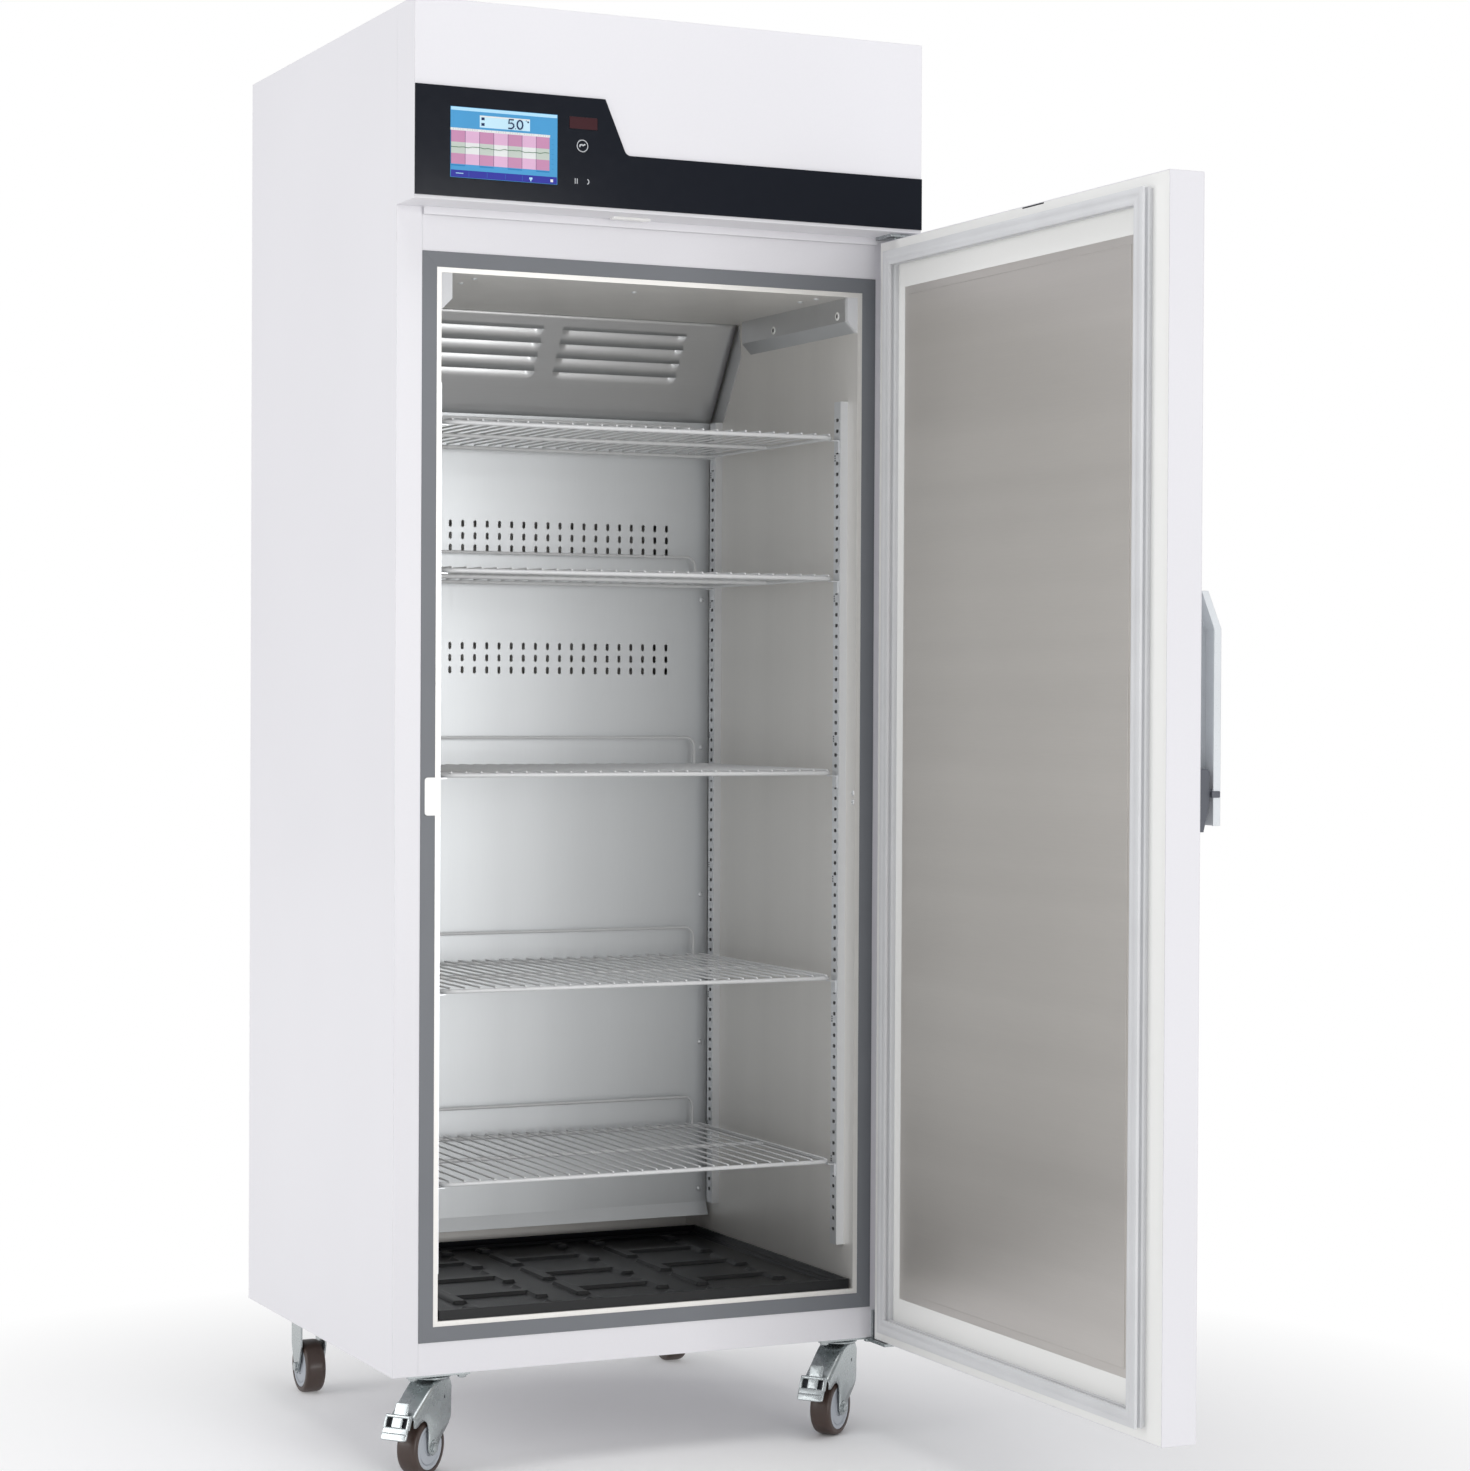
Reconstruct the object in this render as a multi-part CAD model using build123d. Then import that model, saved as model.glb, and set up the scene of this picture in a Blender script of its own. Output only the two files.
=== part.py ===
from build123d import *
import math
import os

os.makedirs("parts", exist_ok=True)

# Frame: X to the right seen from the front, Y to the rear, Z up, in millimetres.
# The origin is on the floor, under the middle of the cabinet's front edge.

# Cabinet body
cabinet_width = 770.0
cabinet_depth = 666.0
castor_height = 141.0
machine_height = 288.0
casing_sheet = 1.2
casing_return = 14.0
cavity_height = 1438.0
side_wall = 65.0
rear_wall = 80.0
floor_wall = 73.0
roof_wall = 70.0
liner_sheet = 1.0
liner_flange = 7.0
breaker_width = 21.0
breaker_thickness = 8.0
breaker_proud = 1.0

# Fascia over the door, with the machine compartment behind it
fascia_height = 270.0
fascia_depth = 70.0
fascia_sheet = 1.2
drip_height = 11.0
drip_reach = 6.0
glass_thickness = 2.5
glass_bottom_edge = 5.0
glass_high_side = 148.0
glass_low_side = 73.0
glass_step_top = 276.0
glass_step_foot = 308.0
glass_step_radius = 10.0
display_width = 155.0
display_height = 95.0
display_from_left = 50.0
display_above_glass_edge = 26.0
display_proud = 0.3
display_body_depth = 12.0
alarm_width = 41.0
alarm_height = 16.0
alarm_from_left = 223.0
alarm_above_glass_edge = 104.5
key_radius = 9.0
key_from_left = 242.0
key_above_glass_edge = 81.5
window_clearance = 0.3
board_width = 190.0
board_height = 100.0
board_thickness = 1.6
board_standoff = 22.0

# Door, hung on the right and standing open at a right angle
door_top_gap = 9.0
door_thickness = 52.0
door_rest_angle = 90.0
door_gap = 18.4
hinge_inset = 20.0
hinge_behind_face = 15.6
door_sheet = 1.0
door_corner = 3.0
liner_frame_side = 76.0
liner_frame_end = 71.0
liner_frame_thickness = 6.0
inner_panel_sheet = 1.0
inner_panel_step = 1.0
gasket_width = 22.0
gasket_side_inset = 37.0
gasket_end_inset = 17.0
gasket_neck = 9.0
gasket_foot = 5.0
gasket_clearance = 0.3
hinge_pin_radius = 5.0
hinge_clearance = 0.05
bush_radius = 8.0
bush_length = 20.0
bracket_plate = 4.0
bracket_width = 40.0
bracket_gap = 1.0
pin_engagement = 17.0

# Handle with its release ram
handle_from_free_edge = 65.0
handle_bottom = 764.0
handle_base_height = 80.0
handle_base_depth = 46.0
handle_base_width = 27.0
handle_corner = 4.0
lever_width = 34.0
lever_reach = 60.0
lever_wall = 3.0
lever_flange = 10.5
lever_bottom_gap = 8.0
lever_straight = 250.0
lever_slope = 48.0
lever_tip_reach = 30.0
lever_tip_width = 10.0
lever_deep_gap = 8.0
lever_pivot_height = 49.0
lever_pivot_depth = 55.0
lever_pin_radius = 2.5
lever_pin_clearance = 0.05
lever_side_clearance = 0.4
lever_throw = 12.5
lever_relief_start = 12.0
ram_radius = 4.0
ram_clearance = 0.3
ram_from_free_edge = 63.0
ram_height = 793.0
ram_recess = 1.0

# Interior fittings
rail_width = 20.0
rail_depth = 12.0
rail_sheet = 1.2
rail_foot = 60.0
rail_top_drop = 148.0
front_rail_y = 30.0
rear_rail_gap = 38.0
slot_pitch = 15.75
slot_width = 9.0
slot_height = 4.5
slot_margin = 22.0
slot_stride = 4
shelf_levels = (0.9733, 0.8, 0.56, 0.3067, 0.08)
shelf_front = 31.0
shelf_rear_gap = 17.0
shelf_side_clearance = 4.5
shelf_bar = 6.0
shelf_wire = 3.0
shelf_wire_pitch = 22.4
backstop_height = 45.0
backstop_inset = 20.0
clip_width = 12.0
clip_sheet = 1.5
clip_tab = 18.0
clip_reach = 11.0
clip_clearance = 0.3
duct_gap = 86.0
duct_sheet = 1.0
duct_foot = 58.0
duct_side_gap = 5.0
duct_lip_drop = 20.0
duct_lip_forward = 9.0
vent_pitch = 20.1
vent_side_margin = 64.0
vent_slot_width = 5.0
vent_slot_height = 11.0
vent_row_pitch = 18.5
vent_rows = 3
vent_stride = 2
vent_drops = (521.0, 334.0)
cover_run = 97.0
cover_height = 146.0
cover_sheet = 1.2
cover_side_gap = 4.0
louvre_left_margin = 110.0
louvre_right_margin = 83.0
louvre_middle_gap = 29.0
louvre_rows = 4
louvre_first = 24.0
louvre_pitch = 24.2
louvre_opening = 9.0
louvre_rise = 6.0
cheek_width = 43.0
cheek_sheet = 1.5
cove_height = 50.0
cove_depth = 15.0
cove_face = 34.0
cove_cap = 9.0
tray_gap = 4.0
tray_rear_gap = 42.0
tray_rim = 14.0
tray_wall = 3.0
tray_rib_count = 9
tray_rib_width = 8.0
tray_rib_height = 3.0
striker_height = 52.0
striker_width = 22.0
striker_thickness = 1.5
striker_wrap = 15.0
striker_level = 794.0

# Cooling machine
evaporator_width = 380.0
evaporator_depth = 50.0
evaporator_height = 84.0
evaporator_rear_gap = 64.0
evaporator_drop = 8.0
fin_count = 8
fin_gap = 6.0
end_sheet = 2.0
coil_radius = 4.5
coil_rows = 2
cold_fan_radius = 55.0
cold_plate_sheet = 1.5
cold_plate_margin = 14.0
cold_fan_depth = 14.0
fan_hub_radius = 18.0
fan_blades = 5
fan_blade_sheet = 2.0
fan_clearance = 3.0
fan_pitch_angle = 32.0
fan_gap = 1.5
motor_radius = 22.0
motor_length = 26.0
motor_shaft_radius = 3.0
motor_arm = 8.0
motor_arm_sheet = 2.0
condenser_width = 260.0
condenser_height = 190.0
condenser_depth = 56.0
condenser_x = -180.0
condenser_rear_gap = 330.0
condenser_foot = 12.0
warm_fan_radius = 86.0
warm_fan_depth = 22.0
compressor_radius = 72.0
compressor_height = 152.0
compressor_crown = 20.0
compressor_foot_height = 14.0
compressor_plate = 3.0
compressor_plate_size = 180.0
pipe_radius = 4.0
liquid_pipe_x = 70.0
suction_pipe_x = 180.0
pipe_clearance = 0.5
drier_radius = 10.0
drier_start = 24.0
inlet_width = 48.0
inlet_height = 28.0
inlet_depth = 22.0
inlet_from_left = 85.0
inlet_above_deck = 60.0
guard_sheet = 1.2
guard_slot_width = 70.0
guard_slot_height = 7.0
guard_slot_pitch_x = 92.0
guard_slot_pitch_z = 38.0
guard_side_margin = 45.0
top_slot_rows = 2
top_slot_pitch = 40.0
magnet_length = 56.0
magnet_width = 6.0
magnet_height = 2.0
magnet_x = -50.0

# Castors
wheel_radius = 40.0
wheel_width = 32.0
axle_radius = 4.0
axle_clearance = 0.05
axle_head_radius = 7.0
axle_head = 3.5
fork_sheet = 2.5
fork_gap = 2.0
fork_boss_radius = 11.0
castor_trail = 25.0
castor_heading = 218.0
front_castor_inset = 69.0
front_castor_y = 38.0
rear_castor_inset = 80.0
rear_castor_gap = 54.0
castor_plate_length = 90.0
castor_plate_width = 72.0
castor_plate_sheet = 3.0
race_radius = 25.0
race_height = 6.0
race_gap = 0.4
kingpin_radius = 6.0
kingpin_clearance = 0.05
crown_front = 27.0
fork_shoulder = 35.0
fork_brow = 60.0
fork_tuck = 66.0
fork_heel = 22.0
pedal_width = 40.0
pedal_pin_radius = 2.5
pedal_pin_along = 56.0
pedal_pin_height = 86.0
pedal_arm = 3.0

# Sizes that follow from the ones above
half_width = cabinet_width / 2
cavity_width = cabinet_width - side_wall * 2
cavity_depth = cabinet_depth - rear_wall
half_cavity = cavity_width / 2
cavity_floor = castor_height + floor_wall
cavity_roof = cavity_floor + cavity_height
deck_top = cavity_roof + roof_wall
casing_top = deck_top + machine_height
fascia_bottom = casing_top - fascia_height
door_height = fascia_bottom - door_top_gap - castor_height
display_left = -half_width + display_from_left
alarm_left = -half_width + alarm_from_left
key_x = -half_width + key_from_left
inlet_x = -half_width + inlet_from_left
breaker_inner = half_cavity + liner_flange
breaker_outer = breaker_inner + breaker_width
breaker_low = cavity_floor - liner_flange - breaker_width
breaker_high = cavity_roof + liner_flange + breaker_width
door_back = -door_gap
door_front = -(door_gap + door_thickness)
hinge_x = half_width - hinge_inset
hinge_y = -(door_gap + hinge_behind_face)
rail_face = half_cavity - rail_depth
rail_low = cavity_floor + rail_foot
rail_high = cavity_roof - rail_top_drop
shelf_half = rail_face - shelf_side_clearance
duct_face_y = cavity_depth - duct_gap
rear_rail_y = duct_face_y - rear_rail_gap
shelf_depth = duct_face_y - shelf_rear_gap - shelf_front
cover_top_y = duct_face_y - cover_run
duct_low = cavity_floor + duct_foot
tray_depth = cavity_depth - tray_gap - tray_rear_gap
evaporator_y = cavity_depth - evaporator_rear_gap - evaporator_depth
condenser_y = cabinet_depth - condenser_rear_gap - condenser_depth
front_castor_x = half_width - front_castor_inset
rear_castor_x = half_width - rear_castor_inset
rear_castor_y = cabinet_depth - rear_castor_gap
handle_x = -half_width + handle_from_free_edge
ram_x = -half_width + ram_from_free_edge
lever_pivot_y = door_front - lever_pivot_depth
lever_pivot_z = castor_height + handle_bottom + lever_pivot_height


def block(x0, x1, y0, y1, z0, z1):
    """A box from its low corner to its high corner."""
    size = Box(abs(x1 - x0), abs(y1 - y0), abs(z1 - z0))
    return Pos((x0 + x1) / 2, (y0 + y1) / 2, (z0 + z1) / 2) * size


def rod_z(radius, x, y, z0, z1):
    """A round bar along Z."""
    return Pos(x, y, (z0 + z1) / 2) * Cylinder(radius, abs(z1 - z0))


def rod_y(radius, x, z, y0, y1):
    """A round bar along Y."""
    return Pos(x, (y0 + y1) / 2, z) * Rot(90, 0, 0) * Cylinder(radius, abs(y1 - y0))


def rod_x(radius, y, z, x0, x1):
    """A round bar along X."""
    return Pos((x0 + x1) / 2, y, z) * Rot(0, 90, 0) * Cylinder(radius, abs(x1 - x0))


def side_profile(points, x0, x1):
    """A closed outline of (y, z) points, given thickness from x0 to x1."""
    face = Plane.YZ * Polygon(*points, align=None)
    return Pos(min(x0, x1), 0, 0) * extrude(face, abs(x1 - x0), dir=(1, 0, 0))


def front_profile(points, y0, y1):
    """A closed outline of (x, z) points, given thickness from y0 to y1."""
    face = Plane.XZ * Polygon(*points, align=None)
    return Pos(0, min(y0, y1), 0) * extrude(face, abs(y1 - y0), dir=(0, 1, 0))


def mitred_bars(half, low, high, width, y0, y1):
    """Left, right, bottom and top bars of a rectangular frame, mitred at its corners."""
    x1, x0 = half, half - width
    left = [(-x1, low), (-x0, low + width), (-x0, high - width), (-x1, high)]
    right = [(-x, z) for x, z in left]
    bottom = [(-x1, low), (x1, low), (x0, low + width), (-x0, low + width)]
    top = [(-x1, high), (x1, high), (x0, high - width), (-x0, high - width)]
    return [front_profile(points, y0, y1) for points in (left, right, bottom, top)]


def save(name, *solids):
    """Write one named piece."""
    shape = solids[0] if len(solids) == 1 else Compound(children=list(solids))
    export_step(shape, f"parts/{name}.step")


# Casing: five folded sheets round the foam

def side_panel(side):
    """A full-height side sheet with its front return, and returns at the rear and the top."""
    outer, inner = side * half_width, side * (half_width - casing_sheet)
    sheet = block(inner, outer, 0, cabinet_depth, castor_height, casing_top)
    front = block(side * breaker_outer, outer, 0, casing_sheet, castor_height, fascia_bottom)
    rest = side * (half_width - casing_return)
    rear = block(rest, inner, cabinet_depth - casing_sheet * 2, cabinet_depth - casing_sheet,
                 deck_top, casing_top - casing_sheet * 2)
    top = block(rest, inner, 0, cabinet_depth - casing_sheet,
                casing_top - casing_sheet * 2, casing_top - casing_sheet)
    return sheet + front + rear + top


def floor_panel():
    """The bottom sheet with the front band under the door opening."""
    inner = half_width - casing_sheet
    sheet = block(-inner, inner, casing_sheet, cabinet_depth,
                  castor_height, castor_height + casing_sheet)
    band = block(-breaker_outer, breaker_outer, 0, casing_sheet, castor_height, breaker_low)
    return sheet + band


def roof_deck():
    """The deck that carries the machine, its front band up to the fascia, and the drip fold."""
    inner = half_width - casing_sheet
    sheet = block(-inner, inner, casing_sheet, cabinet_depth - casing_sheet,
                  deck_top - casing_sheet, deck_top)
    band = block(-breaker_outer, breaker_outer, 0, casing_sheet, breaker_high, fascia_bottom)
    fold = block(-breaker_outer, breaker_outer, -drip_reach, 0,
                 fascia_bottom - casing_sheet, fascia_bottom)
    drip = block(-breaker_outer, breaker_outer, -drip_reach, -drip_reach + casing_sheet,
                 fascia_bottom - drip_height, fascia_bottom)
    return sheet + band + fold + drip - pipe_holes(deck_top - casing_sheet, deck_top)


def rear_panel():
    """The back sheet from the floor panel up to the deck."""
    inner = half_width - casing_sheet
    return block(-inner, inner, cabinet_depth - casing_sheet, cabinet_depth,
                 castor_height + casing_sheet, deck_top)


def pipe_places():
    """Where the liquid and suction pipes go down through the deck."""
    y = evaporator_y + evaporator_depth / 2
    return [(liquid_pipe_x, y), (suction_pipe_x, y)]


def pipe_holes(z0, z1):
    """Round holes for the two pipes, between two heights."""
    radius = pipe_radius + pipe_clearance
    first, second = [rod_z(radius, x, y, z0, z1) for x, y in pipe_places()]
    return first + second


def insulation():
    """Foam that fills the space between the casing and the liner, open to the front."""
    x = half_width - casing_sheet
    outer = block(-x, x, casing_sheet, cabinet_depth - casing_sheet,
                  castor_height + casing_sheet, deck_top - casing_sheet)
    cavity = block(-half_cavity - liner_sheet, half_cavity + liner_sheet,
                   0, cavity_depth + liner_sheet,
                   cavity_floor - liner_sheet, cavity_roof + liner_sheet)
    frame_pocket = block(-breaker_outer, breaker_outer, 0, breaker_thickness - breaker_proud,
                         breaker_low, breaker_high)
    web = block(-breaker_inner, breaker_inner, 0, breaker_thickness - breaker_proud,
                cavity_floor - liner_flange, cavity_roof + liner_flange)
    flange = block(-breaker_inner, breaker_inner, 0, liner_sheet,
                   cavity_floor - liner_flange, cavity_roof + liner_flange)
    foam = outer - cavity - (frame_pocket - web) - flange
    return foam - pipe_holes(cavity_roof, deck_top)


def inner_liner():
    """Stainless box with a narrow lip round its mouth."""
    t = liner_sheet
    outer = block(-half_cavity - t, half_cavity + t, 0, cavity_depth + t,
                  cavity_floor - t, cavity_roof + t)
    lip = block(-breaker_inner, breaker_inner, 0, t,
                cavity_floor - liner_flange, cavity_roof + liner_flange)
    hollow = block(-half_cavity, half_cavity, -t, cavity_depth, cavity_floor, cavity_roof)
    return outer + lip - hollow - pipe_holes(cavity_roof, cavity_roof + t)


def striker_pocket():
    """The space that the striker plate takes out of the left frame bar."""
    z = castor_height + striker_level
    x = -half_cavity - striker_width
    return block(x, -half_cavity, -breaker_proud, striker_thickness - breaker_proud,
                 z - striker_height / 2, z + striker_height / 2)


def breaker_frame():
    """Grey plastic frame of four mitred bars between the casing and the liner."""
    bars = mitred_bars(breaker_outer, breaker_low, breaker_high, breaker_width,
                       -breaker_proud, breaker_thickness - breaker_proud)
    return [bars[0] - striker_pocket()] + bars[1:]


def striker_plate():
    """White plate that the release ram pushes on, wrapped round the liner's lip."""
    z = castor_height + striker_level
    low, high = z - striker_height / 2, z + striker_height / 2
    wrap = block(-half_cavity, -half_cavity + striker_thickness, -breaker_proud,
                 striker_wrap, low, high)
    front = striker_pocket()
    corners = front.edges().filter_by(Axis.Y).group_by(Axis.X)[0]
    gap = block(-breaker_inner, -half_cavity, -breaker_proud, 0, low, high)
    return fillet(corners, striker_width / 5) - (front & block(
        -breaker_inner, -half_cavity, 0, striker_thickness, low, high)) + gap + wrap


# Fascia with the display

def fascia_panel():
    """Folded white front of the machine compartment, open to the rear."""
    t = fascia_sheet
    outer = block(-half_width, half_width, -fascia_depth, 0, fascia_bottom, casing_top)
    hollow = block(-half_width + t, half_width - t, -fascia_depth + t, 0,
                   fascia_bottom + t, casing_top - t)
    windows = display_hole(-fascia_depth, -fascia_depth + t, window_clearance)
    return outer - hollow - windows


def glass_edge():
    return fascia_bottom + glass_bottom_edge


def display_hole(y0, y1, margin):
    """The display's rectangle, grown by a margin."""
    low = glass_edge() + display_above_glass_edge
    return block(display_left - margin, display_left + display_width + margin, y0, y1,
                 low - margin, low + display_height + margin)


def alarm_hole(y0, y1, margin):
    """The alarm window's rectangle, grown by a margin."""
    low = glass_edge() + alarm_above_glass_edge
    return block(alarm_left - margin, alarm_left + alarm_width + margin, y0, y1,
                 low - margin, low + alarm_height + margin)


def display_glass():
    """Black glass across the fascia: high at the left, with a sloped step down to the right."""
    low = glass_edge()
    high, step = low + glass_high_side, low + glass_low_side
    foot_x, top_x = glass_step_foot - half_width, glass_step_top - half_width
    outline = [(-half_width, low), (half_width, low), (half_width, step),
               (foot_x, step), (top_x, high), (-half_width, high)]
    front = -fascia_depth - glass_thickness
    glass = front_profile(outline, front, -fascia_depth)
    inner_edge = glass.edges().filter_by(Axis.Y).sort_by_distance(
        (foot_x, -fascia_depth, step))[0]
    glass = fillet(inner_edge, glass_step_radius)
    glass -= display_hole(front, -fascia_depth, window_clearance)
    glass -= alarm_hole(front, -fascia_depth, window_clearance)
    key = rod_y(key_radius + window_clearance, key_x, low + key_above_glass_edge,
                front, -fascia_depth)
    return glass - key


def touch_display():
    """Touch screen in the glass, with its module behind the fascia."""
    front = -fascia_depth - glass_thickness - display_proud
    screen = display_hole(front, -fascia_depth, 0)
    module = display_hole(-fascia_depth, -fascia_depth + display_body_depth, 0)
    return screen + module


def alarm_display():
    """Dark red window of the second temperature readout."""
    return alarm_hole(-fascia_depth - glass_thickness - display_proud, -fascia_depth, 0)


def power_key():
    """Round touch key let into the glass."""
    z = glass_edge() + key_above_glass_edge
    front = -fascia_depth - glass_thickness
    return rod_y(key_radius, key_x, z, front - display_proud, -fascia_depth)


def control_board():
    """Circuit board on four posts behind the display, with its larger parts."""
    back = -fascia_depth + display_body_depth
    x = display_left + display_width / 2
    z = glass_edge() + display_above_glass_edge + display_height / 2
    face = -fascia_depth + board_standoff
    low, high = z - board_height / 2, z + board_height / 2
    left, right = x - board_width / 2, x + board_width / 2
    board = block(left, right, face, face + board_thickness, low, high)
    post = display_body_depth / 3
    for px in (left + post, right - post):
        for pz in (low + post / 2, high - post / 2):
            board += block(px - post / 2, px + post / 2, -fascia_depth + fascia_sheet, face,
                           pz - post / 2, pz + post / 2)
    over = face + board_thickness
    board += block(x - 60, x - 20, over, over + 14, low + 12, low + 52)
    board += block(x, x + 16, over, over + 9, low + 20, high - 20)
    board += block(right - 40, right - 12, over, over + 11, low + 15, low + 45)
    return board + block(x - 10, x + 10, back, face, z - 10, z + 10)


def guard_slot_columns():
    return int((cabinet_width - guard_side_margin * 2) // guard_slot_pitch_x)


def guard_slot_rows():
    return int(machine_height // guard_slot_pitch_z) - 1


def guard_slot_x(column):
    """Middle of a slot, counted from the left."""
    return (column - (guard_slot_columns() - 1) / 2) * guard_slot_pitch_x


def top_cover():
    """Cover sheet of the machine compartment, with rows of air slots at the rear."""
    x = half_width - casing_sheet
    sheet = block(-x, x, 0, cabinet_depth, casing_top - casing_sheet, casing_top)
    cuts = []
    for row in range(top_slot_rows):
        y = cabinet_depth - casing_return * 3 - row * top_slot_pitch
        for column in range(guard_slot_columns()):
            cx = guard_slot_x(column)
            cuts.append(block(cx - guard_slot_width / 2, cx + guard_slot_width / 2,
                              y - guard_slot_height / 2, y + guard_slot_height / 2,
                              casing_top - casing_sheet, casing_top))
    return sheet - cuts


def rear_guard():
    """Slotted back of the machine compartment, with a cut-out for the mains inlet."""
    x = half_width - casing_sheet
    back = cabinet_depth
    front = cabinet_depth - guard_sheet
    sheet = block(-x, x, front, back, deck_top, casing_top - casing_sheet)
    cuts = [inlet_body(0)]
    for row in range(guard_slot_rows()):
        z = deck_top + casing_return * 2.5 + row * guard_slot_pitch_z
        for column in range(guard_slot_columns()):
            cx = guard_slot_x(column)
            beside = abs(cx - inlet_x) < inlet_width + guard_slot_width / 2
            if beside and z < deck_top + inlet_above_deck + inlet_height:
                continue
            cuts.append(block(cx - guard_slot_width / 2, cx + guard_slot_width / 2,
                              front, back, z - guard_slot_height / 2,
                              z + guard_slot_height / 2))
    return sheet - cuts


def inlet_body(margin):
    """The part of the mains inlet that passes through the guard."""
    z = deck_top + inlet_above_deck
    return block(inlet_x - inlet_width / 2 - margin, inlet_x + inlet_width / 2 + margin,
                 cabinet_depth - inlet_depth, cabinet_depth,
                 z - inlet_height / 2 - margin, z + inlet_height / 2 + margin)


def mains_inlet():
    """Appliance inlet: a body with a sunk socket and three contact pins."""
    z = deck_top + inlet_above_deck
    body = inlet_body(0)
    socket = block(inlet_x - inlet_width * 0.3, inlet_x + inlet_width * 0.3,
                   cabinet_depth - inlet_depth * 0.7, cabinet_depth,
                   z - inlet_height * 0.32, z + inlet_height * 0.32)
    body -= socket
    for step in (-1, 0, 1):
        px = inlet_x + step * inlet_width / 7
        body += block(px - 1, px + 1, cabinet_depth - inlet_depth * 0.7,
                      cabinet_depth - inlet_depth * 0.2, z - 2, z + 2)
    return body


# Cooling machine

def fan(x, face, z, radius, depth):
    """A many-sided hub with pitched blades inside its own depth, in front of a plate's face."""
    y = face + fan_gap + depth / 2
    pitch = math.radians(fan_pitch_angle)
    tip = radius - fan_clearance
    chord = (depth - fan_blade_sheet * math.cos(pitch)) / math.sin(pitch)
    root = fan_hub_radius * 0.9
    hub = Rot(90, 0, 0) * extrude(RegularPolygon(fan_hub_radius, fan_blades * 2), depth / 2,
                                  both=True)
    wheel = Pos(x, y, z) * hub
    for blade in range(fan_blades):
        plate = Pos((root + tip) / 2, 0, 0) * Rot(fan_pitch_angle, 0, 0) * Box(
            tip - root, fan_blade_sheet, chord)
        wheel += Pos(x, y, z) * Rot(0, 360 / fan_blades * blade, 0) * plate
    return wheel - rod_y(motor_shaft_radius + hinge_clearance, x, z, y - depth, y + depth)


def fan_motor(x, face, z, reach, depth):
    """A motor behind its fan, on three arms that stand on the plate at face."""
    start = face + depth + fan_gap * 2
    motor = rod_y(motor_radius, x, z, start, start + motor_length)
    motor += rod_y(motor_shaft_radius, x, z, face + fan_gap, start)
    for arm in range(3):
        bar = block(motor_radius * 0.9, reach, 0, motor_arm_sheet, -motor_arm / 2, motor_arm / 2)
        foot = block(reach - motor_arm, reach, face - start, 0, -motor_arm / 2, motor_arm / 2)
        motor += Pos(x, start, z) * Rot(0, 120 * arm + 90, 0) * (bar + foot)
    return motor


def fin_block(x0, x1, y0, y1, z0, z1):
    """A finned pack: slits between the fins from both faces, and the coil's two ends."""
    pack = block(x0, x1, y0, y1, z0, z1)
    pitch = (x1 - x0) / fin_count
    slit = (y1 - y0) * 0.42
    cuts = []
    for index in range(fin_count):
        middle = x0 + (index + 0.5) * pitch
        cuts.append(block(middle - fin_gap / 2, middle + fin_gap / 2, y0, y0 + slit, z0, z1))
        cuts.append(block(middle - fin_gap / 2, middle + fin_gap / 2, y1 - slit, y1, z0, z1))
    pack -= cuts
    for row in range(coil_rows):
        z = z0 + (z1 - z0) * (0.25 + row * 0.5)
        pack += rod_x(coil_radius, (y0 + y1) / 2, z, x1, x1 + coil_radius * 2)
    return pack


def evaporator():
    """Finned coil that hangs from the liner's roof behind the louvred cover."""
    high = cavity_roof - evaporator_drop
    half = evaporator_width / 2
    core = fin_block(-half, half, evaporator_y, evaporator_y + evaporator_depth,
                     high - evaporator_height, high)
    middle = evaporator_y + evaporator_depth / 2
    for side in (-1, 1):
        core += block(side * half, side * (half - end_sheet), middle - coil_radius * 2,
                      middle + coil_radius * 2, high, cavity_roof)
    return core


def cold_fan_z():
    return cavity_roof - evaporator_drop - cold_fan_radius - cold_plate_margin


def fan_plate():
    """Plate with the fan's round opening behind the evaporator, and the fan's motor."""
    y = evaporator_y + evaporator_depth
    half = evaporator_width / 2
    z = cold_fan_z()
    plate = block(-half, half, y, y + cold_plate_sheet,
                  z - cold_fan_radius - cold_plate_margin, cavity_roof)
    plate -= rod_y(cold_fan_radius, 0, z, y, y + cold_plate_sheet)
    motor = fan_motor(0, y + cold_plate_sheet, z, cold_fan_radius + motor_arm + fan_gap,
                      cold_fan_depth)
    return [plate, motor]


def condenser():
    """Finned condenser standing on the deck."""
    low = deck_top + condenser_foot
    x0, x1 = condenser_x - condenser_width / 2, condenser_x + condenser_width / 2
    core = fin_block(x0, x1, condenser_y, condenser_y + condenser_depth,
                     low, low + condenser_height)
    for x in (x0, x1 - end_sheet):
        core += block(x, x + end_sheet, condenser_y, condenser_y + condenser_depth, deck_top, low)
    return core


def warm_fan_z():
    return deck_top + condenser_foot + condenser_height / 2


def fan_shroud():
    """Sheet with the condenser fan's round opening, the motor and its arms."""
    y = condenser_y + condenser_depth
    x0, x1 = condenser_x - condenser_width / 2, condenser_x + condenser_width / 2
    z = warm_fan_z()
    t = cold_plate_sheet
    plate = block(x0, x1, y, y + t, deck_top, deck_top + condenser_foot + condenser_height)
    bore = rod_y(warm_fan_radius, condenser_x, z, y, y + t)
    motor = fan_motor(condenser_x, y + t, z, warm_fan_radius + motor_arm + fan_gap, warm_fan_depth)
    return [plate - bore, motor]


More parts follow.
